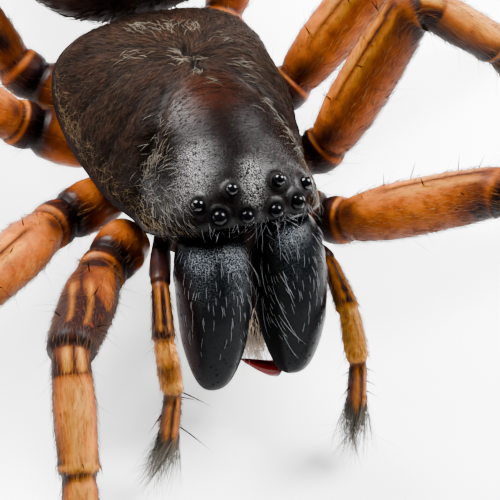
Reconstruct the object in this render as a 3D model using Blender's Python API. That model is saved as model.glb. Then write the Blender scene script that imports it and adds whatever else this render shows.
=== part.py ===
# Sac spider, Clubiona pallidula, an adult female standing with its legs spread.
# The model is life size. The head looks along -Y, the spider's left is +X and the floor is z = 0.
# Every length below is in millimetres, measured from a point on the floor under the hind eyes,
# and MM turns it to metres. The last step moves the origin to the middle of the footprint.

import math

import bmesh
import bpy
from mathutils import Vector

MM = 0.001
NAME = "clubiona_pallidula"
WELD = 0.001

# Carapace: the shield over the head and thorax
CARAPACE_FRONT = -0.26
CARAPACE_LENGTH = 3.36
CARAPACE_HALF_WIDTH = [(0.0, 1.05), (0.14, 1.06), (0.26, 1.0), (0.4, 1.13), (0.58, 1.25), (0.76, 1.3), (1.0, 1.45)]
CARAPACE_CREST = [(0.0, 3.22), (0.08, 3.25), (0.26, 3.14), (0.4, 3.12), (0.6, 3.05), (0.8, 2.8), (1.0, 2.6)]
CARAPACE_RIM = [(0.0, 2.66), (0.06, 2.46), (0.12, 2.24), (0.2, 2.0), (0.4, 1.8), (0.75, 1.8), (1.0, 2.15)]
CARAPACE_ARCH = [(0.0, 0.0), (0.06, 0.1), (0.12, 0.2), (0.25, 0.2), (0.4, -0.06), (1.0, -0.06)]
CARAPACE_BLUNT = (3.2, 3.4)

# Sternum: the plate between the legs, and the flesh that carries the hips
STERNUM_CENTRE = (0.0, 1.62, 1.22)
STERNUM_HALF = (0.58, 1.0, 0.36)
STERNUM_SQUARE = 3.0
STERNUM_CORNER = 0.6

# Mouthparts below and behind the jaws
LABIUM_CENTRE = (0.0, 0.3, 0.98)
LABIUM_HALF = (0.14, 0.24, 0.17)
ROSTRUM_CENTRE = (0.0, 0.3, 1.8)
ROSTRUM_HALF = (0.24, 0.2, 0.36)
ENDITE_ROOT = (0.4, 0.52, 1.16)
ENDITE_TIP = (0.29, -0.34, 0.66)
ENDITE_RADIUS = (0.17, 0.153)
ENDITE_BLUNT = (2.6, 2.6)

# Chelicerae: the two heavy jaws, and the fang folded under each
CHELICERA_ROOT = (0.43, 0.04, 2.34)
CHELICERA_TIP = (0.46, -0.88, 0.74)
CHELICERA_HALF_WIDTH = [(0.0, 0.4), (0.2, 0.41), (0.45, 0.41), (0.65, 0.38), (0.82, 0.32), (1.0, 0.25)]
CHELICERA_HALF_DEPTH = [(0.0, 0.36), (0.12, 0.42), (0.3, 0.43), (0.5, 0.39), (0.75, 0.3), (1.0, 0.2)]
CHELICERA_BLUNT = (5.0, 3.4)
CHELICERA_BOW = 0.08
FANG_PATH_LEFT = [(0.36, -0.7, 0.6), (0.22, -0.72, 0.68), (0.08, -0.66, 0.73), (-0.06, -0.6, 0.78)]
FANG_PATH_RIGHT = [(-0.38, -0.68, 0.56), (-0.25, -0.56, 0.47), (-0.1, -0.46, 0.47), (0.03, -0.4, 0.53)]
FANG_RADIUS = [(0.0, 0.1), (0.3, 0.09), (0.7, 0.055), (1.0, 0.015)]
FANG_BEND_REACH = 0.1

# Eyes in two rows of four: name, half spacing, y, height of the centre, radius
EYES = [
    ("ame", 0.165, -0.25, 2.84, 0.08),
    ("ale", 0.445, -0.17, 2.81, 0.085),
    ("pme", 0.268, 0.0, 3.03, 0.07),
    ("ple", 0.615, 0.03, 2.83, 0.075),
]
SOCKET_GAP = 0.02
EYE_SIDES = 10
EYE_RINGS = 6

# Abdomen, the stalk before it and the spinnerets behind it
ABDOMEN_FRONT = 3.16
ABDOMEN_LENGTH = 5.0
ABDOMEN_HALF_WIDTH = [(0.0, 1.26), (0.3, 1.34), (0.55, 1.46), (0.8, 1.28), (1.0, 1.0)]
ABDOMEN_RISE = [(0.0, 0.95), (0.3, 1.2), (0.6, 1.3), (0.85, 1.05), (1.0, 0.8)]
ABDOMEN_DROP = [(0.0, 0.72), (0.15, 0.85), (0.4, 1.2), (0.6, 1.3), (0.85, 1.05), (1.0, 0.8)]
ABDOMEN_CENTRE_HEIGHT = [(0.0, 2.42), (0.2, 2.32), (0.4, 2.15), (0.75, 1.95), (1.0, 1.75)]
ABDOMEN_BLUNT = (4.0, 2.2)
PEDICEL_SPAN = (2.72, 3.42)
PEDICEL_HEIGHT = 1.42
PEDICEL_RADIUS = 0.2
SPINNERET_BASE = (0.0, 8.29, 1.72)
SPINNERET_BASE_RADIUS = 0.36
SPINNERET_BASE_DEPTH = 0.16
SPINNERET_TAPER = 0.7
SPINNERETS = [(0.17, 0.16, 0.42, 0.11), (0.2, -0.14, 0.5, 0.12), (0.07, 0.0, 0.3, 0.07)]

# Legs. Lengths of the segments beyond the hip: femur, patella, tibia, metatarsus, tarsus
SEGMENTS = {
    1: (2.45, 1.3, 1.95, 1.55, 0.9),
    2: (2.35, 1.25, 2.0, 1.65, 0.95),
    3: (2.1, 1.05, 1.35, 1.7, 0.75),
    4: (2.9, 1.2, 2.2, 2.7, 0.95),
}
HIP_ROOT = {1: (0.86, 0.86, 1.36), 2: (0.86, 1.48, 1.34), 3: (0.86, 2.16, 1.34), 4: (0.76, 2.8, 1.36)}
HIP_END = {
    (1, "r"): (1.38, 0.44, 1.42),
    (1, "l"): (1.38, 0.44, 1.42),
    (2, "r"): (1.64, 1.24, 1.34),
    (2, "l"): (1.6, 1.42, 1.38),
    (3, "r"): (1.54, 2.56, 1.46),
    (3, "l"): (1.54, 2.36, 1.38),
    (4, "r"): (1.26, 3.2, 1.44),
    (4, "l"): (1.08, 3.34, 1.42),
}
# Each pair is (degrees from straight ahead, degrees above level) of the femur, patella and tibia,
# then the heading of the metatarsus and tarsus, whose slopes come from the height left to the floor
LEG_POSE = {
    (1, "r"): ((33, 31), (10, -34), (12, -32), 14),
    (1, "l"): ((42, 46), (34, -22), (30, -42), 28),
    (2, "r"): ((49, 23), (46, -12), (44, -34), 42),
    (2, "l"): ((100, 71), (73, -34), (70, -50), 66),
    (3, "r"): ((97, 37), (101, -12), (104, -48), 107),
    (3, "l"): ((110, 50), (104, -18), (102, -54), 103),
    (4, "r"): ((143, 32), (148, -6), (152, -38), 155),
    (4, "l"): ((146, 32), (148, -6), (151, -38), 154),
}
ANKLE_HEIGHT = 0.24
TOE_HEIGHT = 0.1
LEG_THICKNESS = {1: 1.0, 2: 1.0, 3: 0.95, 4: 1.0}
COXA_RADII = [(0.0, 0.27), (0.5, 0.31), (0.85, 0.27)]
SEGMENT_RADII = [
    [(0.0, 0.25), (0.3, 0.33), (0.6, 0.31), (0.97, 0.27)],
    [(0.06, 0.245), (0.5, 0.26), (0.96, 0.245)],
    [(0.06, 0.235), (0.35, 0.25), (0.96, 0.225)],
    [(0.06, 0.21), (0.5, 0.205), (0.96, 0.19)],
    [(0.06, 0.18), (0.5, 0.17), (1.0, 0.13)],
]
STEP_ALONG_LEG = 0.24
BEND_REACH = 0.26

# Palps: the two feelers beside the jaws, as points at their joints
PALP_JOINTS = {
    "r": [(-0.7, 0.42, 1.2), (-0.76, 0.34, 1.7), (-1.02, -0.24, 1.96), (-1.13, -0.76, 1.65), (-1.11, -1.16, 1.23),
          (-1.18, -1.42, 0.5)],
    "l": [(0.74, 0.4, 1.16), (0.96, 0.2, 1.4), (1.04, -0.1, 1.54), (1.05, -0.74, 1.44), (0.99, -1.26, 1.2),
          (1.0, -1.48, 0.46)],
}
PALP_RADII = [(0.0, 0.12), (0.35, 0.13), (0.5, 0.17), (0.75, 0.19), (0.9, 0.17), (1.0, 0.1)]
STEP_ALONG_PALP = 0.2
PALP_BEND_REACH = 0.18
STEP_ALONG_FANG = 0.09

ROUND_SIDES = 24
SMALL_SIDES = 12
TUBE_RESOLUTION = 2

# Colours: base colour, roughness, metallic
COLOURS = {
    "head_shell": ((0.012, 0.011, 0.013), 0.3, 0.0),
    "jaw_shell": ((0.008, 0.01, 0.013), 0.3, 0.0),
    "fang_horn": ((0.12, 0.008, 0.006), 0.2, 0.0),
    "mouth_skin": ((0.3, 0.16, 0.08), 0.6, 0.0),
    "breast_plate": ((0.2, 0.07, 0.02), 0.4, 0.0),
    "leg_amber": ((0.42, 0.14, 0.025), 0.35, 0.0),
    "abdomen_skin": ((0.07, 0.025, 0.018), 0.6, 0.0),
    "eye_lens": ((0.006, 0.006, 0.008), 0.06, 0.0),
}


def clear_scene():
    for old in list(bpy.data.objects):
        bpy.data.objects.remove(old, do_unlink=True)


def make_collection():
    collection = bpy.data.collections.new(NAME)
    bpy.context.scene.collection.children.link(collection)
    return collection


def make_material(name):
    colour, roughness, metallic = COLOURS[name]
    material = bpy.data.materials.new(name)
    material.use_nodes = True
    shader = material.node_tree.nodes["Principled BSDF"]
    shader.inputs["Base Color"].default_value = (*colour, 1.0)
    shader.inputs["Roughness"].default_value = roughness
    shader.inputs["Metallic"].default_value = metallic
    return material


def read_profile(profile, at):
    """Value of a list of (place, value) pairs at one place, eased between the pairs."""
    if at <= profile[0][0]:
        return profile[0][1]
    for (start, low), (end, high) in zip(profile, profile[1:]):
        if at <= end:
            part = (at - start) / (end - start)
            eased = part * part * (3 - 2 * part)
            return low + (high - low) * (0.5 * part + 0.5 * eased)
    return profile[-1][1]


def end_rounding(polar, blunt):
    """How wide a body is near its ends, as a share of its full width: 2 is an ellipse, more is blunter."""
    return max(0.0, 1.0 - abs(math.cos(polar)) ** blunt) ** (1.0 / blunt)


def signed_power(value, power):
    return math.copysign(abs(value) ** power, value)


def finish_mesh(bm, name, material_name, collection):
    """Turns a closed shape in millimetres into an object in metres, its faces pointing outwards."""
    bmesh.ops.recalc_face_normals(bm, faces=bm.faces)
    if bm.calc_volume(signed=True) < 0:
        bmesh.ops.reverse_faces(bm, faces=bm.faces)
    bmesh.ops.scale(bm, verts=bm.verts, vec=(MM, MM, MM))
    mesh = bpy.data.meshes.new(name)
    bm.to_mesh(mesh)
    bm.free()
    mesh.shade_smooth()
    mesh.materials.append(make_material(material_name))
    body = bpy.data.objects.new(name, mesh)
    collection.objects.link(body)
    return body


def shaped_ball(name, material_name, collection, sides, rings, surface):
    """A sphere with each point moved to surface(polar, around), both in radians."""
    bm = bmesh.new()
    bmesh.ops.create_uvsphere(bm, u_segments=sides, v_segments=rings, radius=1.0)
    for vertex in bm.verts:
        polar = math.acos(max(-1.0, min(1.0, vertex.co.z)))
        around = math.atan2(vertex.co.y, vertex.co.x)
        vertex.co = Vector(surface(polar, around))
    return finish_mesh(bm, name, material_name, collection)


def spindle(name, material_name, collection, root, tip, half_width, half_depth, blunt, bow=0.0):
    """A tapering body from root to tip, its width across the spider and its depth square to that.
    The bluntness is a pair, for the root end and the tip end. The middle bows forwards by the length bow."""
    root = Vector(root)
    axis = Vector(tip) - root
    across = Vector((1.0, 0.0, 0.0))
    deep = axis.normalized().cross(across).normalized()

    def surface(polar, around):
        along = (1 - math.cos(polar)) / 2
        rounding = end_rounding(polar, blunt[0] if along < 0.5 else blunt[1])
        width = read_profile(half_width, along) * rounding
        depth = read_profile(half_depth, along) * rounding * math.sin(around)
        forward = depth + bow * 4 * along * (1 - along)
        return root + axis * along + across * width * math.cos(around) + deep * forward

    return shaped_ball(name, material_name, collection, SMALL_SIDES, SMALL_SIDES, surface)


def dense_path(joints, step):
    """Points close together along straight runs between the joints, with the run each one is on."""
    points = []
    for index, (start, end) in enumerate(zip(joints, joints[1:])):
        count = max(2, round((end - start).length / step))
        for number in range(count):
            points.append((start.lerp(end, number / count), index, number / count))
    points.append((joints[-1], len(joints) - 2, 1.0))
    return points


def rounded_path(joints, spacing, reach):
    """The same route with its bends rounded: each point is the mean of its neighbours within reach."""
    fine = 0.02
    dense = dense_path(joints, fine)
    half = round(reach / fine)
    last = len(dense) - 1
    count = max(3, round(last * fine / spacing))
    route = []
    for number in range(count + 1):
        middle = round(number * last / count)
        span = min(half, middle, last - middle)
        near = [dense[index][0] for index in range(middle - span, middle + span + 1)]
        centre = sum(near, Vector()) / len(near)
        route.append((centre, dense[middle][1], dense[middle][2]))
    return route


def tube(name, material_name, collection, route):
    """A round tube of changing radius through (point, radius) pairs, cut flat where it meets the floor."""
    curve = bpy.data.curves.new(name, "CURVE")
    curve.dimensions = "3D"
    curve.bevel_depth = 1.0
    curve.bevel_resolution = TUBE_RESOLUTION
    curve.use_fill_caps = True
    spline = curve.splines.new("POLY")
    spline.points.add(len(route) - 1)
    for point, (centre, radius) in zip(spline.points, route):
        point.co = (*centre, 1.0)
        point.radius = radius
    guide = bpy.data.objects.new(name + "_guide", curve)
    collection.objects.link(guide)
    bpy.context.view_layer.update()
    graph = bpy.context.evaluated_depsgraph_get()
    mesh = bpy.data.meshes.new_from_object(guide.evaluated_get(graph))
    bpy.data.objects.remove(guide, do_unlink=True)
    bm = bmesh.new()
    bm.from_mesh(mesh)
    bpy.data.meshes.remove(mesh)
    bmesh.ops.remove_doubles(bm, verts=bm.verts, dist=WELD)
    everything = list(bm.verts) + list(bm.edges) + list(bm.faces)
    cut = bmesh.ops.bisect_plane(
        bm, geom=everything, plane_co=(0, 0, 0), plane_no=(0, 0, -1), clear_outer=True, dist=WELD)
    rim = [item for item in cut["geom_cut"] if isinstance(item, bmesh.types.BMEdge)]
    if rim:
        bmesh.ops.holes_fill(bm, edges=rim, sides=0)
    bmesh.ops.triangulate(bm, faces=bm.faces)
    return finish_mesh(bm, name, material_name, collection)


def heading(side, ahead, above):
    """Unit vector that points so many degrees away from straight ahead and above level."""
    level = math.cos(math.radians(above))
    outward = math.sin(math.radians(ahead)) * level
    forward = math.cos(math.radians(ahead)) * level
    return Vector((side * outward, -forward, math.sin(math.radians(above))))


def leg_joints(number, side_name):
    """The joints of one leg, from the root of its hip to its toe on the floor."""
    side = 1 if side_name == "l" else -1
    root, hip = Vector(HIP_ROOT[number]), Vector(HIP_END[number, side_name])
    root.x *= side
    hip.x *= side
    femur, patella, tibia, foot_heading = LEG_POSE[number, side_name]
    lengths = SEGMENTS[number]
    joints = [root, hip]
    for length, (ahead, above) in zip(lengths, (femur, patella, tibia)):
        joints.append(joints[-1] + heading(side, ahead, above) * length)
    for length, height in zip(lengths[3:], (ANKLE_HEIGHT, TOE_HEIGHT)):
        slope = math.degrees(math.asin((height - joints[-1].z) / length))
        joints.append(joints[-1] + heading(side, foot_heading, slope) * length)
    return joints


def make_leg(number, side_name, collection):
    joints = leg_joints(number, side_name)
    route = []
    for centre, run, part in rounded_path(joints, STEP_ALONG_LEG, BEND_REACH):
        radii = COXA_RADII if run == 0 else SEGMENT_RADII[run - 1]
        route.append((centre, read_profile(radii, part) * LEG_THICKNESS[number]))
    return tube(f"leg_{number}_{side_name}", "leg_amber", collection, route)


def make_palp(side_name, collection):
    joints = [Vector(joint) for joint in PALP_JOINTS[side_name]]
    path = rounded_path(joints, STEP_ALONG_PALP, PALP_BEND_REACH)
    route = []
    for index, (centre, _, _) in enumerate(path):
        route.append((centre, read_profile(PALP_RADII, index / (len(path) - 1))))
    return tube(f"palp_{side_name}", "leg_amber", collection, route)


def make_fang(side_name, points, collection):
    path = rounded_path([Vector(point) for point in points], STEP_ALONG_FANG, FANG_BEND_REACH)
    route = []
    for index, (centre, _, _) in enumerate(path):
        route.append((centre, read_profile(FANG_RADIUS, index / (len(path) - 1))))
    return tube(f"fang_{side_name}", "fang_horn", collection, route)


def carapace_surface(polar, around):
    along = (1 - math.cos(polar)) / 2
    blunt = CARAPACE_BLUNT[0] if along < 0.5 else CARAPACE_BLUNT[1]
    rounding = end_rounding(polar, blunt)
    rim = read_profile(CARAPACE_RIM, along)
    rise = (read_profile(CARAPACE_CREST, along) - rim) * rounding
    lift = math.sin(around)
    x = read_profile(CARAPACE_HALF_WIDTH, along) * rounding * math.cos(around)
    y = CARAPACE_FRONT + CARAPACE_LENGTH * along
    arch = read_profile(CARAPACE_ARCH, along) * rounding
    z = rim + (rise * lift if lift > 0 else -arch * lift)
    return x, y, z


def sternum_surface(polar, around):
    along = -math.cos(polar)
    rounding = end_rounding(polar, STERNUM_SQUARE)
    x = STERNUM_HALF[0] * rounding * signed_power(math.cos(around), STERNUM_CORNER)
    z = STERNUM_HALF[2] * rounding * signed_power(math.sin(around), STERNUM_CORNER)
    return STERNUM_CENTRE[0] + x, STERNUM_CENTRE[1] + STERNUM_HALF[1] * along, STERNUM_CENTRE[2] + z


def oval_surface(centre, half):
    """A surface for shaped_ball: an oval body around its centre, its poles to the front and rear."""

    def surface(polar, around):
        ring = math.sin(polar)
        offset = (math.cos(around) * ring, -math.cos(polar), math.sin(around) * ring)
        return tuple(middle + reach * part for middle, reach, part in zip(centre, half, offset))

    return surface


def abdomen_surface(polar, around):
    along = (1 - math.cos(polar)) / 2
    blunt = ABDOMEN_BLUNT[0] if along < 0.5 else ABDOMEN_BLUNT[1]
    rounding = end_rounding(polar, blunt)
    lift = math.sin(around)
    x = read_profile(ABDOMEN_HALF_WIDTH, along) * rounding * math.cos(around)
    z = read_profile(ABDOMEN_RISE if lift > 0 else ABDOMEN_DROP, along) * rounding * lift
    return x, ABDOMEN_FRONT + ABDOMEN_LENGTH * along, read_profile(ABDOMEN_CENTRE_HEIGHT, along) + z


def make_eye(name, x, y, z, radius, collection):
    bm = bmesh.new()
    bmesh.ops.create_uvsphere(bm, u_segments=EYE_SIDES, v_segments=EYE_RINGS, radius=radius)
    bmesh.ops.translate(bm, verts=bm.verts, vec=(x, y, z))
    return finish_mesh(bm, name, "eye_lens", collection)


def cut_sockets(body, eyes, collection):
    """Sinks a round pit for each eye in the head, a little wider than the eye."""
    for eye, (x, y, z, radius) in eyes:
        cutter = make_eye("socket_" + eye, x, y, z, radius + SOCKET_GAP, collection)
        cutter.hide_render = True
        cutter.display_type = "WIRE"
    cut = body.modifiers.new("sockets", "BOOLEAN")
    cut.operation = "DIFFERENCE"
    cut.solver = "EXACT"
    cut.operand_type = "COLLECTION"
    cut.collection = collection


def make_pedicel(collection):
    start, end = PEDICEL_SPAN
    bm = bmesh.new()
    bmesh.ops.create_cone(
        bm, cap_ends=True, segments=SMALL_SIDES, radius1=PEDICEL_RADIUS, radius2=PEDICEL_RADIUS,
        depth=end - start)
    for vertex in bm.verts:
        vertex.co = Vector((vertex.co.x, (start + end) / 2 + vertex.co.z, PEDICEL_HEIGHT + vertex.co.y))
    return finish_mesh(bm, "pedicel", "abdomen_skin", collection)


def apply_union(body, pieces, solver):
    """Joins the pieces of a scratch collection to the body, applies that and removes them."""
    join = body.modifiers.new("join", "BOOLEAN")
    join.operation = "UNION"
    join.solver = solver
    join.operand_type = "COLLECTION"
    join.collection = pieces
    bpy.context.view_layer.update()
    graph = bpy.context.evaluated_depsgraph_get()
    joined = bpy.data.meshes.new_from_object(body.evaluated_get(graph))
    body.modifiers.clear()
    body.data = joined
    for piece in list(pieces.objects):
        bpy.data.objects.remove(piece, do_unlink=True)
    bpy.data.collections.remove(pieces)


def make_spinnerets(collection):
    """A low round base with three pairs of short nozzles that point backwards."""
    x, y, z = SPINNERET_BASE

    def base_surface(polar, around):
        ring = math.sin(polar) * SPINNERET_BASE_RADIUS
        return (x + math.cos(around) * ring, y - math.cos(polar) * SPINNERET_BASE_DEPTH, z + math.sin(around) * ring)

    body = shaped_ball("spinnerets", "abdomen_skin", collection, SMALL_SIDES, 8, base_surface)
    pieces = bpy.data.collections.new("spinneret_pieces")
    bpy.context.scene.collection.children.link(pieces)
    for half_spacing, lift, length, radius in SPINNERETS:
        for side in (-1, 1):
            bm = bmesh.new()
            bmesh.ops.create_cone(
                bm, cap_ends=True, segments=8, radius1=radius, radius2=radius * SPINNERET_TAPER,
                depth=length + SPINNERET_BASE_DEPTH)
            for vertex in bm.verts:
                along = vertex.co.z + (length + SPINNERET_BASE_DEPTH) / 2
                vertex.co = Vector((x + side * half_spacing + vertex.co.x, y + along, z + lift + vertex.co.y))
            finish_mesh(bm, "spinneret", "abdomen_skin", pieces)
    apply_union(body, pieces, "EXACT")
    return body


def to_footprint_centre(collection):
    """The move that brings the origin to the floor at the middle of the whole spider's box."""
    bpy.context.view_layer.update()
    graph = bpy.context.evaluated_depsgraph_get()
    corners = []
    for body in collection.objects:
        corners.extend(vertex.co for vertex in body.evaluated_get(graph).data.vertices)
    low = Vector((min(corner.x for corner in corners), min(corner.y for corner in corners), 0.0))
    high = Vector((max(corner.x for corner in corners), max(corner.y for corner in corners), 0.0))
    return -(low + high) / 2


def main():
    clear_scene()
    collection = make_collection()
    cutters = bpy.data.collections.new("eye_sockets")
    bpy.context.scene.collection.children.link(cutters)

    carapace = shaped_ball(
        "carapace", "head_shell", collection, ROUND_SIDES, ROUND_SIDES, carapace_surface)
    shaped_ball("sternum", "breast_plate", collection, SMALL_SIDES, SMALL_SIDES, sternum_surface)
    labium = oval_surface(LABIUM_CENTRE, LABIUM_HALF)
    shaped_ball("labium", "mouth_skin", collection, SMALL_SIDES, 8, labium)
    rostrum = oval_surface(ROSTRUM_CENTRE, ROSTRUM_HALF)
    shaped_ball("rostrum", "mouth_skin", collection, SMALL_SIDES, 8, rostrum)
    shaped_ball("abdomen", "abdomen_skin", collection, ROUND_SIDES, 16, abdomen_surface)
    make_pedicel(collection)
    make_spinnerets(collection)

    sockets = []
    for side_name, side in (("l", 1), ("r", -1)):
        mirror = Vector((side, 1, 1))
        spindle(
            f"chelicera_{side_name}", "jaw_shell", collection,
            Vector(CHELICERA_ROOT) * mirror, Vector(CHELICERA_TIP) * mirror,
            CHELICERA_HALF_WIDTH, CHELICERA_HALF_DEPTH, CHELICERA_BLUNT, CHELICERA_BOW)
        lobe = [(0.0, ENDITE_RADIUS[0]), (1.0, ENDITE_RADIUS[1])]
        spindle(
            f"endite_{side_name}", "mouth_skin", collection,
            Vector(ENDITE_ROOT) * mirror, Vector(ENDITE_TIP) * mirror, lobe, lobe, ENDITE_BLUNT)
        make_palp(side_name, collection)
        for number in SEGMENTS:
            make_leg(number, side_name, collection)
        for kind, half_spacing, y, z, radius in EYES:
            name = f"eye_{kind}_{side_name}"
            make_eye(name, side * half_spacing, y, z, radius, collection)
            sockets.append((name, (side * half_spacing, y, z, radius)))
    make_fang("l", FANG_PATH_LEFT, collection)
    make_fang("r", FANG_PATH_RIGHT, collection)
    cut_sockets(carapace, sockets, cutters)

    shift = to_footprint_centre(collection)
    for body in list(collection.objects) + list(cutters.objects):
        body.location = shift


main()
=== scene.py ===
# %% [markdown]
# # A sac spider, built at its real size
# The solids of the spider come from the frame, in metres. Everything below dresses them: one
# smooth skin for each region of the body, the eyes and fangs, and thousands of hairs. It could
# be sculpted by hand, but skins that are made from short lists of measures can be checked
# against the animal and changed one number at a time, and hair is best grown by rule.

# %% The frame
import math

import bpy
import numpy as np
from mathutils import Matrix, Vector

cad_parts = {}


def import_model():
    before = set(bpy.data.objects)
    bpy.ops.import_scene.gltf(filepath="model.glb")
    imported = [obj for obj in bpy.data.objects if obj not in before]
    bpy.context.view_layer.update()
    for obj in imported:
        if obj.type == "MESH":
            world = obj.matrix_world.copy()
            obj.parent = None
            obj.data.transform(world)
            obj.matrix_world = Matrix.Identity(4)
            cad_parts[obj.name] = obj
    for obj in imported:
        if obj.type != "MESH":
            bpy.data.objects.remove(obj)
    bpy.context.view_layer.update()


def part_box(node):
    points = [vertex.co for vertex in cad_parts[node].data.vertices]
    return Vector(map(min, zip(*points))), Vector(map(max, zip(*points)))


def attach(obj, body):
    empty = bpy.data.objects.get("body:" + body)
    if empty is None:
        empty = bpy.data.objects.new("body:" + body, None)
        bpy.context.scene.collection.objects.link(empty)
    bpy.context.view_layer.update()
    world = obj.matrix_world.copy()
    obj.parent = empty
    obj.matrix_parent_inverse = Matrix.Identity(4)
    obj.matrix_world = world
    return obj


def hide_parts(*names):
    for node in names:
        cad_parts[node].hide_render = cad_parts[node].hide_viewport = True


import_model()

MM = 0.001
# Measures below are in mm from a point on the floor under the hind eyes. This is how far in
# front of it the carapace begins.
CARAPACE_FRONT = -0.26
low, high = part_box("carapace")
ORIGIN = np.array([(low[0] + high[0]) / 2 / MM, low[1] / MM - CARAPACE_FRONT, 0.0])

# %% [markdown]
# ## Camera
# The photograph looks down on the head from the spider's right, with the camera rolled a little.
# A camera could be turned by hand until it fits, but angles, a point to look at and the width of
# the field can be worked out from the eyes and legs. A long lens some way off keeps the
# perspective as flat as a macro lens gives it. The camera comes first, so that every later piece
# can be judged through it.

# %% Camera
CAMERA_AZIMUTH = math.radians(-31.17)
CAMERA_ELEVATION = math.radians(50.63)
CAMERA_ROLL = math.radians(13.15)
CAMERA_DISTANCE = 60.0
CAMERA_AIM = (-0.184, -0.49, 2.578)
FIELD_WIDTH = 5.263
SENSOR = 36.0


def world(points):
    """Millimetres in the spider's own frame, under its hind eyes, to metres in the model's frame."""
    return (np.asarray(points, float) + ORIGIN) * MM


def make_camera():
    back = Vector((
        math.sin(CAMERA_AZIMUTH) * math.cos(CAMERA_ELEVATION),
        -math.cos(CAMERA_AZIMUTH) * math.cos(CAMERA_ELEVATION),
        math.sin(CAMERA_ELEVATION)))
    level = Vector((0, 0, 1)).cross(back).normalized()
    upright = back.cross(level)
    right = level * math.cos(CAMERA_ROLL) + upright * math.sin(CAMERA_ROLL)
    up = back.cross(right)
    place = Vector(world(CAMERA_AIM)) + back * CAMERA_DISTANCE * MM
    data = bpy.data.cameras.new("camera")
    data.sensor_width = SENSOR
    data.lens = SENSOR * CAMERA_DISTANCE / FIELD_WIDTH
    data.clip_start = 0.001
    data.clip_end = 2.0
    camera = bpy.data.objects.new("camera", data)
    camera.matrix_world = Matrix.Translation(place) @ Matrix((right, up, back)).transposed().to_4x4()
    bpy.context.collection.objects.link(camera)
    bpy.context.scene.camera = camera
    return camera


make_camera()
print("camera stands", CAMERA_DISTANCE, "mm off and sees", FIELD_WIDTH, "mm")

# %% [markdown]
# ## Smooth profiles
# The widths and heights of an animal change softly along its body. A Bezier curve could hold
# them, but a short list of stations is easier to read and correct. Straight lines between the
# stations would show as creases in a glossy shell, so a profile is blurred along its length. A
# ramp and a bump are the two soft steps that place every colour and dent later on.

# %% Profiles, ramps and bumps
def profile(stations, blur=0.05):
    """A smooth function through (place, value) stations."""
    places, values = np.array(stations, float).T
    count = 400
    fine = np.linspace(places[0], places[-1], count)
    line = np.interp(fine, places, values)
    reach = max(1, int(blur * count))
    kernel = np.hanning(2 * reach + 1)
    kernel /= kernel.sum()
    before = 2 * line[0] - line[reach:0:-1]
    after = 2 * line[-1] - line[-2:-reach - 2:-1]
    soft = np.convolve(np.concatenate([before, line, after]), kernel, mode="valid")
    return lambda at: np.interp(at, fine, soft)


def ramp(value, start, end):
    """0 before start, 1 after end and a soft step between."""
    part = np.clip((value - start) / (end - start), 0.0, 1.0)
    return part * part * (3 - 2 * part)


def bump(value, centre, width):
    """1 at the centre, falling softly to both sides."""
    return np.exp(-((value - centre) / width) ** 2)


def rounding(polar, blunt):
    """How a body closes at its ends. A higher blunt gives a squarer end."""
    return np.clip(1.0 - np.abs(np.cos(polar)) ** blunt, 0.0, 1.0) ** (1.0 / blunt)


print("a bump falls to", round(float(bump(1.0, 0.0, 1.0)), 3), "one width from its centre")

# %% [markdown]
# ## Closed shells
# Each region of the body is one closed skin: rings of points along an axis, and a single point
# at each end. Subdivided blocks could give it too, but rings let every point be worked out, and
# give each skin a clean unwrap for streaks and hair at no cost.

# %% A shell from rings
def shell(grid, marks=None, strip=(0.0, 1.0)):
    """A closed shell from rings of points. The first and last ring are single points.
    marks holds named values for every point. strip is the shell's share of the unwrap."""
    rings, sides = grid.shape[:2]
    points = np.concatenate([grid[:1, 0], grid[1:-1].reshape(-1, 3), grid[-1:, 0]])
    ring = np.arange(rings - 2)[:-1, None] * sides + 1
    side = np.arange(sides)[None, :]
    after = (side + 1) % sides
    quads = np.stack([ring + side, ring + after, ring + sides + after, ring + sides + side], axis=-1)
    tip, end = 1 + (rings - 3) * sides, len(points) - 1
    first = np.stack([np.zeros(sides, int), 1 + after[0], 1 + side[0]], axis=-1)
    last = np.stack([np.full(sides, end), tip + side[0], tip + after[0]], axis=-1)
    start, width = strip
    across = start + (np.arange(sides + 1) / sides) * width
    along = np.linspace(0, 1, rings)
    u0 = np.broadcast_to(across[:-1], (rings - 3, sides))
    u1 = np.broadcast_to(across[1:], (rings - 3, sides))
    v0 = np.broadcast_to(along[1:-2, None], (rings - 3, sides))
    v1 = np.broadcast_to(along[2:-1, None], (rings - 3, sides))
    uv = [np.stack([np.stack([u0, v0], -1), np.stack([u1, v0], -1), np.stack([u1, v1], -1),
                    np.stack([u0, v1], -1)], axis=2).reshape(-1, 2)]
    middle = (across[:-1] + across[1:]) / 2
    for edge, pole, order in ((along[1], 0.0, (1, 0)), (along[-2], 1.0, (0, 1))):
        corners = [np.stack([middle, np.full(sides, pole)], -1)]
        for step in order:
            corners.append(np.stack([across[step:sides + step], np.full(sides, edge)], -1))
        uv.append(np.stack(corners, axis=1).reshape(-1, 2))
    values = {}
    for name, value in (marks or {}).items():
        value = np.broadcast_to(value, grid.shape if np.ndim(value) == 3 or np.shape(value) == (3,)
                                else grid.shape[:2])
        tail = value.shape[2:]
        values[name] = np.concatenate([value[:1, 0], value[1:-1].reshape((-1,) + tail), value[-1:, 0]])
    return {"points": points, "quads": quads.reshape(-1, 4), "tris": np.concatenate([first, last]),
            "uv": np.concatenate(uv), "marks": values}


print("a shell of 4 rings of 8 points has", len(shell(np.zeros((4, 8, 3)))["points"]), "points")

# %% [markdown]
# A shell is only numbers. To become a piece it needs faces that point outwards, its unwrap and
# the named values that its material and its hair read. A negative volume shows that a shell is
# inside out, and then its faces are turned.

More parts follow.
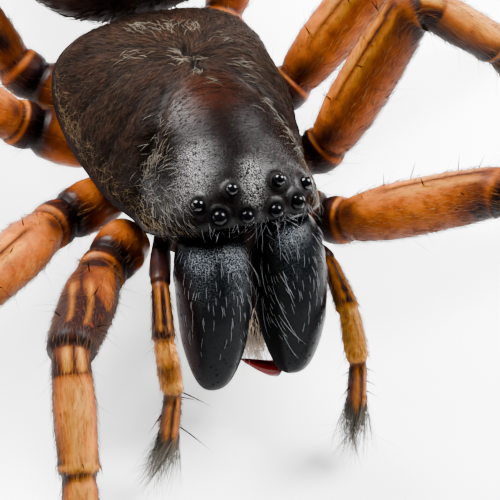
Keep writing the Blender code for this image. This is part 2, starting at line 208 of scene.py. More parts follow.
# %% A mesh object from shells
def build(name, shells, material):
    """One mesh object from shells, in metres, its faces pointing outwards."""
    points, loops, sizes, uvs, marks, count = [], [], [], [], {}, 0
    for item in shells:
        quads, tris, uv = item["quads"], item["tris"], item["uv"]
        corner = item["points"][quads]
        volume = np.einsum("ij,ij->i", corner[:, 0], np.cross(corner[:, 1], corner[:, 2])).sum()
        volume += np.einsum("ij,ij->i", corner[:, 0], np.cross(corner[:, 2], corner[:, 3])).sum()
        split = len(quads) * 4
        quad_uv, tri_uv = uv[:split].reshape(-1, 4, 2), uv[split:].reshape(-1, 3, 2)
        if volume < 0:
            quads, tris = quads[:, ::-1], tris[:, ::-1]
            quad_uv, tri_uv = quad_uv[:, ::-1], tri_uv[:, ::-1]
        loops += [(quads + count).ravel(), (tris + count).ravel()]
        sizes += [np.full(len(quads), 4), np.full(len(tris), 3)]
        uvs += [quad_uv.reshape(-1, 2), tri_uv.reshape(-1, 2)]
        points.append(item["points"])
        count += len(item["points"])
        for key, value in item["marks"].items():
            marks.setdefault(key, []).append(value)
    loops, sizes = np.concatenate(loops), np.concatenate(sizes)
    mesh = bpy.data.meshes.new(name)
    mesh.vertices.add(count)
    mesh.vertices.foreach_set("co", world(np.concatenate(points)).ravel())
    mesh.loops.add(len(loops))
    mesh.loops.foreach_set("vertex_index", loops)
    mesh.polygons.add(len(sizes))
    mesh.polygons.foreach_set("loop_start", np.concatenate([[0], np.cumsum(sizes)[:-1]]))
    mesh.update(calc_edges=True)
    layer = mesh.uv_layers.new(name="surface")
    layer.data.foreach_set("uv", np.concatenate(uvs).ravel())
    for key, parts in marks.items():
        value = np.concatenate(parts)
        kind = "FLOAT_VECTOR" if value.ndim == 2 else "FLOAT"
        field = mesh.attributes.new(key, kind, "POINT")
        slot = "vector" if value.ndim == 2 else "value"
        field.data.foreach_set(slot, value.astype(np.float32).ravel())
    mesh.validate()
    mesh.shade_smooth()
    mesh.materials.append(material)
    piece = bpy.data.objects.new(name, mesh)
    bpy.context.collection.objects.link(piece)
    triangles = sum(len(item["quads"]) * 2 + len(item["tris"]) for item in shells)
    print(f"{name}: {len(shells)} shells, {triangles} triangles")
    return piece


print("the grids are in mm, and a mesh takes", MM, "m for each")

# %% [markdown]
# ## Colours and material helpers
# Colours are written as the hex values that a painter would pick from a screen. Shaders want
# linear light, so one function turns them. Materials could be pictures wrapped round the piece,
# but nodes stay sharp from any distance, and a pattern's size can be given in millimetres. One
# function adds a node with its settings and links. Two more lay colours over one another and
# bumps on bumps, as most skins here need.

# %% Colour and node helpers
NOISE, CELLS = "ShaderNodeTexNoise", "ShaderNodeTexVoronoi"
MIX, MATH, RANGE = "ShaderNodeMix", "ShaderNodeMath", "ShaderNodeMapRange"
MARK, BUMP = "ShaderNodeAttribute", "ShaderNodeBump"


def linear(hex_colour):
    """A screen colour such as #808080 as linear light, with full alpha."""
    parts = [int(hex_colour[start:start + 2], 16) / 255 for start in (1, 3, 5)]
    turned = [part / 12.92 if part <= 0.04045 else ((part + 0.055) / 1.055) ** 2.4 for part in parts]
    return (*turned, 1.0)


def connect(tree, node, inputs):
    """Gives a node's inputs, by name or index, an output of another node, a colour or a value."""
    for key, value in inputs.items():
        if isinstance(value, bpy.types.NodeSocket):
            tree.links.new(value, node.inputs[key])
        elif isinstance(value, str) and value.startswith("#"):
            node.inputs[key].default_value = linear(value)
        else:
            node.inputs[key].default_value = value


def add_node(tree, kind, inputs, out=0, **settings):
    """Adds a node and returns the one of its outputs that is read next."""
    node = tree.nodes.new(kind)
    for key, value in settings.items():
        setattr(node, key, value)
    connect(tree, node, inputs)
    return node.outputs[out] if node.outputs else None


def per_mm(size_mm):
    """The scale that makes the lumps of a pattern size_mm apart."""
    return 1.0 / (size_mm * MM)


def new_material(name, roughness, **fixed):
    """A Principled material. What is the same all over is set on the shader's own sockets."""
    material = bpy.data.materials.new(name)
    material.use_nodes = True
    tree = material.node_tree
    shader = tree.nodes["Principled BSDF"]
    uniform = {key.replace("_", " "): value for key, value in fixed.items()}
    connect(tree, shader, {"Roughness": roughness, **uniform})
    return material, tree, shader, add_node(tree, "ShaderNodeTexCoord", {}, "Object")


def paint_over(tree, base, coats):
    """Lays colours over a base in turn. Each has the share of it that shows, and the colour."""
    for share, colour in coats:
        base = add_node(tree, MIX, {0: share, 6: base, 7: colour}, 2, data_type="RGBA")
    return base


def carve(tree, shader, layers):
    """Lays bumps on bumps. Each has its pattern, its strength and its depth in mm."""
    below = {}
    for pattern, strength, depth_mm in layers:
        height = {"Height": pattern, "Strength": strength, "Distance": depth_mm * MM}
        below = {"Normal": add_node(tree, BUMP, {**height, **below})}
    connect(tree, shader, below)


print("mid grey #808080 is", round(linear("#808080")[0], 3), "in linear light")

# %% [markdown]
# ## The carapace
# The shield over head and thorax is sclerotin, a hard black-brown shell. It is domed like an egg
# cut lengthways, blunt in front where the eyes sit. A sculpted mesh could follow it as well, but
# its length and width are what gives the spider its scale, so it is built from measured
# stations: half width, crest, rim and the arch under it, at shares of its length.

# %% Measures of the carapace
CARAPACE_LENGTH = 3.36
CARAPACE_HALF_WIDTH = [
    (0.0, 1.05), (0.14, 1.06), (0.26, 1.0), (0.4, 1.13), (0.58, 1.25), (0.76, 1.3), (1.0, 1.45),
]
CARAPACE_CREST = [
    (0.0, 3.22), (0.08, 3.25), (0.26, 3.14), (0.4, 3.12), (0.6, 3.05), (0.8, 2.8), (1.0, 2.6),
]
CARAPACE_RIM = [
    (0.0, 2.66), (0.06, 2.46), (0.12, 2.24), (0.2, 2.0), (0.4, 1.8), (0.75, 1.8), (1.0, 2.15),
]
CARAPACE_ARCH = [(0.0, 0.0), (0.06, 0.1), (0.12, 0.2), (0.25, 0.2), (0.4, -0.05), (1.0, -0.05)]
FRONT_BLUNT, REAR_BLUNT = 3.2, 3.4
# The share of a ring's points that lies on the back, where the detail is
BACK_SHARE = 0.84
# The skin stands this far inside the solid, to leave room for the coat
SKIN_DEPTH = 0.012
# Place to the side, place along, height and radius of each pair of eyes
EYES = {
    "ame": (0.165, -0.25, 2.84, 0.08),
    "ale": (0.445, -0.17, 2.81, 0.085),
    "pme": (0.268, 0.0, 3.03, 0.07),
    "ple": (0.615, 0.03, 2.83, 0.075),
}


def carapace_grid(rings, sides):
    """Points of the carapace, and how high round its ring each one is."""
    polar = np.linspace(0, np.pi, rings)[:, None]
    share = np.linspace(0, 1, sides, endpoint=False)[None, :]
    beyond = (share - BACK_SHARE) / (1 - BACK_SHARE)
    around = np.where(share < BACK_SHARE, share / BACK_SHARE * np.pi, np.pi + beyond * np.pi)
    along = (1 - np.cos(polar)) / 2
    round_off = np.where(along < 0.5, rounding(polar, FRONT_BLUNT), rounding(polar, REAR_BLUNT))
    rim = profile(CARAPACE_RIM, 0.03)(along)
    arch = profile(CARAPACE_ARCH, 0.03)(along) * round_off
    rise = (profile(CARAPACE_CREST, 0.08)(along) - rim) * round_off
    lift = np.sin(around)
    half_width = profile(CARAPACE_HALF_WIDTH, 0.08)(along) - SKIN_DEPTH
    x = half_width * round_off * np.cos(around)
    y = CARAPACE_FRONT + SKIN_DEPTH + (CARAPACE_LENGTH - 2 * SKIN_DEPTH) * along + 0 * around
    z = rim - SKIN_DEPTH * lift + np.where(lift > 0, rise * lift, -arch * lift)
    return np.stack([x, y, z], axis=-1), lift


widest = 2 * max(half for place, half in CARAPACE_HALF_WIDTH)
print("carapace:", CARAPACE_LENGTH, "mm long and, by its stations, up to", widest, "mm wide")

# %% [markdown]
# A pit in the middle of the back marks where the stomach's muscle holds. Two grooves part head
# from thorax, spokes run towards the legs, and each eye stands on a low mound. They could be
# painted as bumps, but the light has to catch them from every side, so the surface itself is
# pressed in and raised by soft functions of the distance from a line or from an eye.

# %% Pit, grooves and eye mounds
PIT_SPAN = (1.72, 2.16)
PIT_DEPTH, PIT_WIDTH = 0.1, 0.07
HOLLOW_DEPTH, HOLLOW_WIDTH = 0.05, 0.28
HEAD_GROOVE = [(0.12, 1.78), (0.5, 1.45), (0.8, 1.0), (1.02, 0.62)]
GROOVE_DEPTH, GROOVE_WIDTH = 0.035, 0.09
SHOULDER_DENT = 0.04
SPOKES = [
    [(0.14, 1.9), (0.6, 1.62), (1.15, 1.28)],
    [(0.14, 2.0), (0.65, 2.0), (1.22, 1.95)],
    [(0.12, 2.12), (0.5, 2.4), (1.05, 2.66)],
]
SPOKE_DEPTH, SPOKE_WIDTH = 0.018, 0.06
EYE_MOUND, EYE_SOCKET = 0.024, 0.02
RIM_BEAD = 0.03


def line_distance(x, y, route):
    """Distance from each place to a line through the route's points, seen from above."""
    best = np.full(np.shape(x), 9.0)
    for (ax, ay), (bx, by) in zip(route, route[1:]):
        dx, dy = bx - ax, by - ay
        part = np.clip(((x - ax) * dx + (y - ay) * dy) / (dx * dx + dy * dy), 0, 1)
        best = np.minimum(best, np.hypot(x - ax - part * dx, y - ay - part * dy))
    return best


def grid_normals(grid):
    """Outward directions of a ring grid, from its neighbours along and around."""
    along = np.gradient(grid, axis=0)
    around = np.roll(grid, -1, axis=1) - np.roll(grid, 1, axis=1)
    normal = np.cross(around, along)
    size = np.linalg.norm(normal, axis=-1, keepdims=True)
    normal = normal / np.maximum(size, 1e-9)
    centre = grid.mean(axis=(0, 1))
    flip = np.sign(np.sum(normal * (grid - centre), axis=-1).mean())
    return normal * flip


def eye_distances(side, y, z):
    """For each pair of eyes, how far every point is from its middle, and its radius."""
    for half, ey, ez, radius in EYES.values():
        yield np.sqrt((side - half) ** 2 + (y - ey) ** 2 + (z - ez) ** 2), radius


def press_details(grid, lift):
    """The grid with its details pressed in, and the distance from the grooves and the pit."""
    x, y, z = np.moveaxis(grid, -1, 0)
    side = np.abs(x)
    pit = line_distance(x, y, [(0.0, PIT_SPAN[0]), (0.0, PIT_SPAN[1])])
    drop = PIT_DEPTH * bump(pit, 0.0, PIT_WIDTH) + HOLLOW_DEPTH * bump(pit, 0.0, HOLLOW_WIDTH)
    groove = line_distance(side, y, HEAD_GROOVE)
    drop += GROOVE_DEPTH * bump(groove, 0.0, GROOVE_WIDTH) * ramp(side, 0.05, 0.3)
    drop += SHOULDER_DENT * bump(side, 0.8, 0.12) * bump(y, 1.0, 0.14)
    for spoke in SPOKES:
        drop += SPOKE_DEPTH * bump(line_distance(side, y, spoke), 0.0, SPOKE_WIDTH)
    mound = np.zeros_like(z)
    for away, radius in eye_distances(side, y, z):
        mound += EYE_MOUND * bump(away, radius * 1.22, 0.04) - EYE_SOCKET * bump(away, 0.0, radius)
    change = (mound - drop) * ramp(lift, 0.0, 0.25) + RIM_BEAD * bump(lift, 0.03, 0.03)
    return grid + grid_normals(grid) * change[..., None], groove, pit


print("pressed in:", len(SPOKES), "spokes a side and a pit", PIT_DEPTH, "mm deep")
print("raised:", len(EYES), "eye mounds a side")

# %% [markdown]
# ### Sclerotin of the head
# Sclerotin is cuticle that has been tanned hard, as leather is. On the head it is near black
# with a blue-grey shine. Under the lens that shine breaks into fine grains, and every hair root
# sits in a small black pit. A plain glossy black would look like plastic, so noise breaks the
# roughness up grain by grain. Where the photograph shows the shine brightest, the grains are
# painted a lighter grey too: a painted highlight. Towards the back the shell is thinner, and brown.

# %% Grained sclerotin
# The real grains are about 0.005 mm apart. They are drawn at 0.014 mm, so that they show.
GRAIN = 0.014
HAIR_PIT_GAP = 0.07
DULL_ROUGHNESS = 0.85


def grained_surface(tree, shader, coords, base, painted_glint_colour, shine_range, painted_glint, dull):
    """Grains that break up the shine, with pits for the hair roots. One mark says where the grains
    get a painted highlight, and dull says where the shine is off."""
    grains = add_node(tree, NOISE, {
        "Vector": coords, "Scale": per_mm(GRAIN), "Detail": 2.0, "Roughness": 0.7})
    sparks = add_node(tree, NOISE, {
        "Vector": coords, "Scale": per_mm(GRAIN * 0.8), "Detail": 3.0, "Roughness": 0.75})
    sparks = add_node(tree, RANGE, {"Value": sparks, "From Min": 0.5, "From Max": 0.66})
    bright = add_node(tree, MATH, {0: sparks, 1: painted_glint}, operation="MULTIPLY", use_clamp=True)
    pits = add_node(tree, CELLS, {"Vector": coords, "Scale": per_mm(HAIR_PIT_GAP)}, feature="F1")
    beside_pit = add_node(tree, RANGE, {"Value": pits, "From Min": 0.14, "From Max": 0.24})
    # The brightest grains are painted lighter: a painted highlight
    base = paint_over(tree, base, [(bright, painted_glint_colour)])
    base = paint_over(tree, "#020203", [(beside_pit, base)])
    rough = add_node(tree, RANGE, {
        "Value": grains, "From Min": 0.35, "From Max": 0.65,
        "To Min": shine_range[0], "To Max": shine_range[1]})
    in_pit = add_node(tree, RANGE, {"Value": beside_pit, "To Min": 1.0, "To Max": 0.0})
    worn = add_node(tree, MATH, {0: dull, 1: DULL_ROUGHNESS}, operation="MULTIPLY", use_clamp=True)
    for other in (in_pit, worn):
        rough = add_node(tree, MATH, {0: rough, 1: other}, operation="MAXIMUM", use_clamp=True)
    connect(tree, shader, {"Base Color": base, "Roughness": rough})
    # Wide swells of the shell, rounded grains on them, and a finer roughness on the grains
    swells = add_node(tree, NOISE, {
        "Vector": coords, "Scale": per_mm(0.15), "Detail": 2.0, "Roughness": 0.55})
    knobs = add_node(tree, CELLS, {"Vector": coords, "Scale": per_mm(GRAIN)}, feature="F1")
    carve(tree, shader, [(swells, 0.3, 0.012), (knobs, 0.3, 0.005), (grains, 0.35, 0.006)])


print("the shell's grains are drawn", GRAIN, "mm apart")

# %% [markdown]
# The head shell lays its colours one over another: black in clouds, brown towards the back,
# streaks, a red-brown saddle behind the head and black in every groove. Each colour is shown by
# a value on the skin's points, so it follows the relief.

# %% Head shell
def head_sclerotin():
    """Tanned cuticle: satin black on the head, brown on the back, with a painted grey highlight on its
    grains.
    """
    material, tree, shader, coords = new_material(
        "black_sclerotin_shell", 0.36, IOR=1.56, Specular_IOR_Level=0.028)
    marks = {name: add_node(tree, MARK, {}, "Fac", attribute_name=name)
             for name in ("thorax", "groove", "saddle", "painted_glint", "dull")}
    # Clouds of pigment are about 0.35 mm wide, and brown streaks in them about 0.25 mm
    patches = add_node(tree, NOISE, {
        "Vector": coords, "Scale": per_mm(0.35), "Detail": 4.0, "Roughness": 0.55})
    streaks = add_node(tree, NOISE, {
        "Vector": coords, "Scale": per_mm(0.25), "Detail": 5.0, "Roughness": 0.6})
    streaks = add_node(tree, RANGE, {"Value": streaks, "From Min": 0.45, "From Max": 0.75})
    shares = [add_node(tree, MATH, {0: first, 1: second}, operation="MULTIPLY", use_clamp=True)
              for first, second in (
                  (patches, 0.15), (streaks, marks["thorax"]), (marks["saddle"], patches))]
    zone = add_node(tree, MATH, {0: marks["thorax"], 1: shares[0]}, operation="ADD", use_clamp=True)
    brown = paint_over(tree, "#070302", [(patches, "#110703")])
    base = paint_over(tree, "#020202", [(patches, "#050303"), (zone, brown), (shares[1], "#1b0b04"),
                                        (shares[2], "#240c04"), (marks["groove"], "#020101")])
    # 7c7a7a is the grey of the painted highlight on the crown
    grained_surface(tree, shader, coords, base, "#7c7a7a", (0.14, 0.3), marks["painted_glint"], marks["dull"])
    return material


HEAD_SHELL = head_sclerotin()
print("made", HEAD_SHELL.name)

# %% [markdown]
# ### Where painted highlights, tufts and down lie
# The finish changes from place to place on the shield: grains painted grey as a highlight on the
# crown, pale tufts beside the pit, down on the thorax, wisps at the corners of the head. Masks
# could be painted by hand. Here each is a soft function of the place, kept as a named value on
# the skin's points, so the material and the hair read the same mask.

# %% Lie of the coat on the carapace
# x, y and radius of each pale tuft, thickest beside the pit and at the rear edge
PALE_TUFTS = [
    (-0.06, 2.63, 0.1), (-0.29, 2.76, 0.08), (0.26, 2.57, 0.09), (-0.6, 2.23, 0.08),
    (0.58, 2.2, 0.07), (-0.16, 1.9, 0.08), (0.14, 1.86, 0.07), (-0.06, 1.62, 0.06),
    (0.13, 1.43, 0.06), (-0.12, 2.12, 0.06), (0.59, 1.68, 0.08), (0.6, 1.46, 0.06),
    (-0.8, 0.82, 0.09), (0.8, 0.9, 0.08),
]
# Painted highlight in grained patches on the crown: a line through each, its half width and its strength
HEAD_PAINTED_GLINTS = [
    ([(-0.62, 0.24), (-0.5, 0.6)], 0.15, 1.1), ([(-0.06, -0.1), (0.02, 0.2)], 0.11, 1.1),
    ([(0.5, 0.25), (0.4, 0.5)], 0.12, 0.25),
]


def carapace_lie(x, y):
    """The coat runs from the sides up to the middle line, and turns forwards beside the eyes."""
    inwards = np.stack([-x, 1.9 - y, 0 * x], axis=-1)
    inwards /= np.maximum(np.linalg.norm(inwards, axis=-1, keepdims=True), 1e-6)
    sideways = np.stack([-np.sign(x), 0.15 + 0 * y, 0 * x], axis=-1)
    forwards = np.stack([-0.45 * np.sign(x), -np.ones_like(y), -0.3 + 0 * x], axis=-1)
    front = ramp(y, 0.15, 0.85)[..., None]
    rear = ramp(y, 1.2, 1.9)[..., None]
    return forwards * (1 - front) + sideways * front * (1 - rear) + inwards * rear


def tuft_cover(x, y):
    return sum(np.exp(-((x - px) ** 2 + (y - py) ** 2) / radius ** 2) for px, py, radius in PALE_TUFTS)


print(len(PALE_TUFTS), "pale tufts and", len(HEAD_PAINTED_GLINTS), "painted_highlight patches on the shield")

# %% [markdown]
# Hair keeps clear of the eyes and of the rim, and down thins out in the grooves. The same soft
# steps give the colour zones. With them the carapace is complete, and becomes the first piece.

# %% Masks of the carapace
def carapace_covers(x, y, z, lift, thorax, saddle, dark):
    """How densely each kind of hair stands at every point, 0 to about 1."""
    side = np.abs(x)
    crown = (1 - ramp(side, 0.5, 0.74)) * (1 - ramp(y + 0.5 * side, 1.1, 1.6))
    down = (1 - crown) * (1 - 0.6 * saddle) * (0.55 + 0.45 * thorax) * (1 - 0.8 * dark)
    wisp = bump(side, 0.84, 0.13) * ramp(y, -0.2, 0.0) * (1 - ramp(y, 0.85, 1.15))
    wisp = wisp + 0.5 * bump(y, 1.05, 0.2) * bump(side, 0.66, 0.12)
    face = 1 - ramp(y, -0.2, -0.05)
    clypeus = face * (1 - ramp(z, 2.72, 2.8)) * (0.4 + ramp(side, 0.1, 0.5))
    fan = face * (1 - ramp(z, 2.7, 2.78)) * bump(x, 0.06, 0.2)
    fringe = bump(lift, 0.16, 0.1) * ramp(side, 0.6, 0.85)
    fringe = fringe * (0.25 + 0.75 * bump(y, 2.05, 0.35) + 0.5 * bump(y, 0.5, 0.5))
    return {"down": down, "wisp": wisp, "clypeus": clypeus, "fan": fan, "fringe": fringe,
            "tuft": tuft_cover(x, y), "crown": crown}


def carapace_marks(grid, lift, groove, pit):
    """Named values of the skin: zones of colour, the painted highlight, covers of hair and the lie of
    the coat.
    """
    x, y, z = np.moveaxis(grid, -1, 0)
    side = np.abs(x)
    thorax = ramp(y + side * 0.55, 1.15, 2.0) * 0.9 + ramp(side, 0.75, 1.1) * 0.4
    thorax = np.clip(thorax, 0, 1)
    saddle = 0.8 * bump(x, -0.12, 0.4) * bump(y, 1.3, 0.34)
    dark = np.maximum(0.75 * bump(groove, 0.0, 0.07) * ramp(side, 0.1, 0.5), bump(pit, 0.0, 0.08))
    dark = np.maximum(dark, bump(lift, 0.0, 0.06))
    for spoke in SPOKES:
        dark = np.maximum(dark, 0.6 * bump(line_distance(side, y, spoke), 0.0, 0.05))
    bald, lit = np.ones_like(z), np.ones_like(z)
    for away, radius in eye_distances(side, y, z):
        bald *= ramp(away, radius * 1.15, radius * 1.7)
        lit *= ramp(away, radius * 1.3, radius * 2.2)
    # The painted highlight on the crown, kept clear of the eyes
    painted_glint = sum(share * bump(line_distance(x, y, route), 0.0, width)
                for route, width, share in HEAD_PAINTED_GLINTS)
    marks = {"thorax": thorax, "saddle": saddle, "painted_glint": painted_glint * lit, "lie": carapace_lie(x, y),
             "groove": np.maximum(dark, 1 - lit), "dull": np.maximum(thorax, (1 - lit) * 0.7),
             "ahead": np.stack([0.35 * np.sign(x), -1 + 0 * y, -1 + 0 * x], axis=-1)}
    above_rim = ramp(lift, 0.02, 0.12)
    for name, cover in carapace_covers(x, y, z, lift, thorax, saddle, dark).items():
        marks[name] = cover * above_rim * bald
    return marks


grid, lift = carapace_grid(250, 280)
grid, groove, pit = press_details(grid, lift)
carapace_skin = shell(grid, carapace_marks(grid, lift, groove, pit))
pieces = {"carapace": build("skin_carapace", [carapace_skin], HEAD_SHELL)}

# %% [markdown]
# ## Eyes
# Eight simple eyes, each a single domed lens of clear cuticle over a dark cup. A lens sits in the
# shell like a drop of varnish. It could be a dome set on the shell, but a whole ball in a socket
# closes every gap round it and shows a little less than half of itself.

# %% Eyes
LENS_FIT = 0.98


def eye_glass(name, shine):
    """Clear cuticle, polished like varnish over a black cup: the eye sees two sharp lights."""
    material, tree, shader, coords = new_material(name, 0.1, IOR=1.55, Specular_IOR_Level=shine)
    connect(tree, shader, {"Base Color": "#020203"})
    return material


# Hind eyes look up into the light. Front eyes look ahead, and their glass is a copy with less shine:
# painted shade.
EYE_GLASS = {"p": eye_glass("hind_eye_cuticle", 0.1), "a": eye_glass("front_eye_cuticle_shaded", 0.035)}


def ball(centre, radius, rings=28, sides=32, stretch=(1, 1, 1)):
    polar = np.linspace(0, np.pi, rings)[:, None]
    around = np.linspace(0, 2 * np.pi, sides, endpoint=False)[None, :]
    grid = np.stack([np.sin(polar) * np.cos(around), np.sin(polar) * np.sin(around),
                     np.cos(polar) + 0 * around], axis=-1)
    return np.asarray(centre) + grid * radius * np.asarray(stretch)


for kind, (half, ey, ez, radius) in EYES.items():
    for name, side in (("l", 1), ("r", -1)):
        lens = shell(ball((side * half, ey, ez), radius * LENS_FIT))
        pieces[f"eye_{kind}_{name}"] = build(f"lens_{kind}_{name}", [lens], EYE_GLASS[kind[0]])

# %% [markdown]
# ## Jaws
# Each chelicera is a heavy, slightly bulging cone of the hardest sclerotin, with a flattened
# inner face. Under the lights it is blue-black, with a painted highlight of grey grains on the knee
# below the head. A squashed ball would be too plain and a sculpted block hard to correct, so a
# tapered shell is drawn along a slanted axis, with stations of width and depth taken from the
# photograph.

# %% Shape of the jaws
CHELICERA_ROOT = (0.43, 0.04, 2.34)
CHELICERA_TIP = (0.46, -0.88, 0.74)
CHELICERA_HALF_WIDTH = [
    (0.0, 0.39), (0.2, 0.4), (0.45, 0.4), (0.65, 0.37), (0.82, 0.31), (1.0, 0.24),
]
CHELICERA_HALF_DEPTH = [
    (0.0, 0.35), (0.12, 0.41), (0.3, 0.42), (0.5, 0.38), (0.75, 0.29), (1.0, 0.19),
]
CHELICERA_BLUNT = (5.0, 3.4)
CHELICERA_BOW = 0.08
# How far from the middle plane the flat inner face of each jaw stays
INNER_FACE = 0.012


def spindle_grid(root, tip, half_width, half_depth, blunt, rings, sides, bow=0.0):
    """Rings of a tapering body, with the along share and the angle of each point."""
    root, axis = np.asarray(root, float), np.subtract(tip, root)
    across = np.array([1.0, 0.0, 0.0])
    deep = np.cross(axis / np.linalg.norm(axis), across)
    deep /= np.linalg.norm(deep)
    polar = np.linspace(0, np.pi, rings)[:, None]
    around = np.linspace(0, 2 * np.pi, sides, endpoint=False)[None, :]
    along = (1 - np.cos(polar)) / 2
    off = np.where(along < 0.5, rounding(polar, blunt[0]), rounding(polar, blunt[1]))
    width = (profile(half_width)(along) * off * np.cos(around))[..., None]
    bowed = bow * 4 * along * (1 - along)
    depth = (profile(half_depth)(along) * off * np.sin(around) + bowed)[..., None]
    grid = root + axis * along[..., None] + across * width + deep * depth
    return grid, along + 0 * around, around + 0 * polar


print("jaw length in mm:", round(float(np.linalg.norm(np.subtract(CHELICERA_TIP, CHELICERA_ROOT))), 2))

# %% [markdown]
# The jaws have the thickest shell of the body. It has the same grains and pits as the head's, so
# it is made by the same function, over a blue-black with red-brown edges, where it thins out.

# %% Sclerotin of the jaws
def jaw_sclerotin():
    """Thick tanned cuticle: blue-black and satin, with red-brown edges and a painted grey highlight."""
    material, tree, shader, coords = new_material(
        "blue_black_sclerotin", 0.34, IOR=1.56, Specular_IOR_Level=0.016)
    marks = {name: add_node(tree, MARK, {}, "Fac", attribute_name=name)
             for name in ("edge", "inner", "painted_glint")}
    # Clouds of pigment about 0.3 mm wide
    patches = add_node(tree, NOISE, {
        "Vector": coords, "Scale": per_mm(0.3), "Detail": 4.0, "Roughness": 0.55})
    edge = add_node(tree, MATH, {0: marks["edge"], 1: 0.8}, operation="MULTIPLY", use_clamp=True)
    # Red-brown at the thin edges. On the inner face a flatter black is painted shade.
    base = paint_over(tree, "#010102", [
        (patches, "#030506"), (edge, "#150403"), (marks["inner"], "#010101")])
    # 767b82 is the grey of the painted highlight on the knees
    grained_surface(tree, shader, coords, base, "#767b82", (0.16, 0.32), marks["painted_glint"], marks["inner"])
    return material


JAW_SHELL = jaw_sclerotin()
print("made", JAW_SHELL.name)

# %% [markdown]
# The two jaws are mirror images in shape. Where they would meet they are cut flat, with a hair's
# breadth between. The painted highlights on their knees differ, so each has its own bumps.

# %% Skins of the jaws
def jaw_painted_glint(side, along, outwards, front):
    """The painted highlight on the knee of each jaw. The two differ, as they do in the photograph."""
    if side < 0:
        knee = bump(along, 0.12, 0.07) + 0.2 * bump(along, 0.27, 0.1)
        knee = knee * (1 - 0.9 * bump(outwards, 0.12, 0.2) * ramp(along, 0.07, 0.13))
    else:
        knee = bump(along, 0.05, 0.09) + 0.12 * bump(along, 0.25, 0.1)
        knee = knee * bump(outwards, -0.25, 0.4)
    return front * knee * ramp(1 - np.abs(outwards), 0.0, 0.35)


def make_chelicera(name, side):
    mirror = np.array([side, 1, 1])
    grid, along, around = spindle_grid(
        CHELICERA_ROOT * mirror, CHELICERA_TIP * mirror, CHELICERA_HALF_WIDTH, CHELICERA_HALF_DEPTH,
        CHELICERA_BLUNT, 130, 120, CHELICERA_BOW)
    grid[..., 0] = np.where(side * grid[..., 0] < INNER_FACE, side * INNER_FACE, grid[..., 0])
    outwards = side * np.cos(around)
    inner = ramp(-outwards, 0.0, 0.8)
    front = ramp(np.sin(around), -0.2, 0.3)
    edge = ramp(outwards, 0.6, 1.0) * ramp(along, 0.1, 0.4) * (1 - 0.8 * ramp(along, 0.75, 0.95))
    axis = np.broadcast_to(np.subtract(CHELICERA_TIP, CHELICERA_ROOT) * mirror, grid.shape)
    lie = axis + inner[..., None] * np.array([1.6 if side > 0 else 0.5, 0.3, 0.2])
    cover = ramp(along, 0.03, 0.1) * (1 - ramp(along, 0.9, 0.98)) * (0.25 + 0.75 * front)
    cover = cover * (1 - 0.85 * ramp(along, 0.45, 0.65))
    long_hair = inner * ramp(along, 0.05, 0.15) * (1 - ramp(along, 0.72, 0.85))
    # The knee carries a painted highlight, and the inner face painted shade
    marks = {"edge": edge, "lie": lie, "cover": cover, "setae": long_hair,
             "painted_glint": jaw_painted_glint(side, along, outwards, front), "inner": ramp(-outwards, 0.45, 0.75)}
    return build(f"skin_chelicera_{name}", [shell(grid, marks)], JAW_SHELL)


for name, side in (("l", 1), ("r", -1)):
    pieces[f"chelicera_{name}"] = make_chelicera(name, side)

# %% [markdown]
# ## Legs
# A spider's leg is a chain of stiff amber tubes with soft dark skin in the joints. It could be
# seven cylinders, or a curve with a bevel, but neither gives the swelling of the femur, the
# pinched joints or the raised lips at the ends of the tubes. One closed skin is swept along each
# leg instead, and its radius is read from stations along the chain. A station's whole number is
# the segment and its fraction the share of that segment: 0 is the hip, 1 the femur, 2 the
# patella, 3 the tibia, 4 the metatarsus and 5 the tarsus.

# %% Segments and stance
# Lengths in mm of femur, patella, tibia, metatarsus and tarsus
SEGMENTS = {
    1: (2.45, 1.3, 1.95, 1.55, 0.9),
    2: (2.35, 1.25, 2.0, 1.65, 0.95),
    3: (2.1, 1.05, 1.35, 1.7, 0.75),
    4: (2.9, 1.2, 2.2, 2.7, 0.95),
}
HIP_ROOT = {1: (0.86, 0.86, 1.36), 2: (0.86, 1.48, 1.34), 3: (0.86, 2.16, 1.34), 4: (0.76, 2.8, 1.36)}
HIP_END = {
    (1, "r"): (1.38, 0.44, 1.42),
    (1, "l"): (1.38, 0.44, 1.42),
    (2, "r"): (1.64, 1.24, 1.34),
    (2, "l"): (1.6, 1.42, 1.38),
    (3, "r"): (1.54, 2.56, 1.46),
    (3, "l"): (1.54, 2.36, 1.38),
    (4, "r"): (1.26, 3.2, 1.44),
    (4, "l"): (1.08, 3.34, 1.42),
}
# For femur, patella and tibia, the degrees away from straight ahead and above level, and the
# heading of the foot
LEG_POSE = {
    (1, "r"): ((33, 31), (10, -34), (12, -32), 14),
    (1, "l"): ((42, 46), (34, -22), (30, -42), 28),
    (2, "r"): ((49, 23), (46, -12), (44, -34), 42),
    (2, "l"): ((100, 71), (73, -34), (70, -50), 66),
    (3, "r"): ((97, 37), (101, -12), (104, -48), 107),
    (3, "l"): ((110, 50), (104, -18), (102, -54), 103),
    (4, "r"): ((143, 32), (148, -6), (152, -38), 155),
    (4, "l"): ((146, 32), (148, -6), (151, -38), 154),
}
ANKLE_HEIGHT = 0.24
TOE_HEIGHT = 0.1
BEND_REACH = 0.26


def heading(side, ahead, above):
    """Unit vector so many degrees away from straight ahead and above level."""
    level = math.cos(math.radians(above))
    turn = math.radians(ahead)
    return np.array([side * math.sin(turn) * level, -math.cos(turn) * level,
                     math.sin(math.radians(above))])


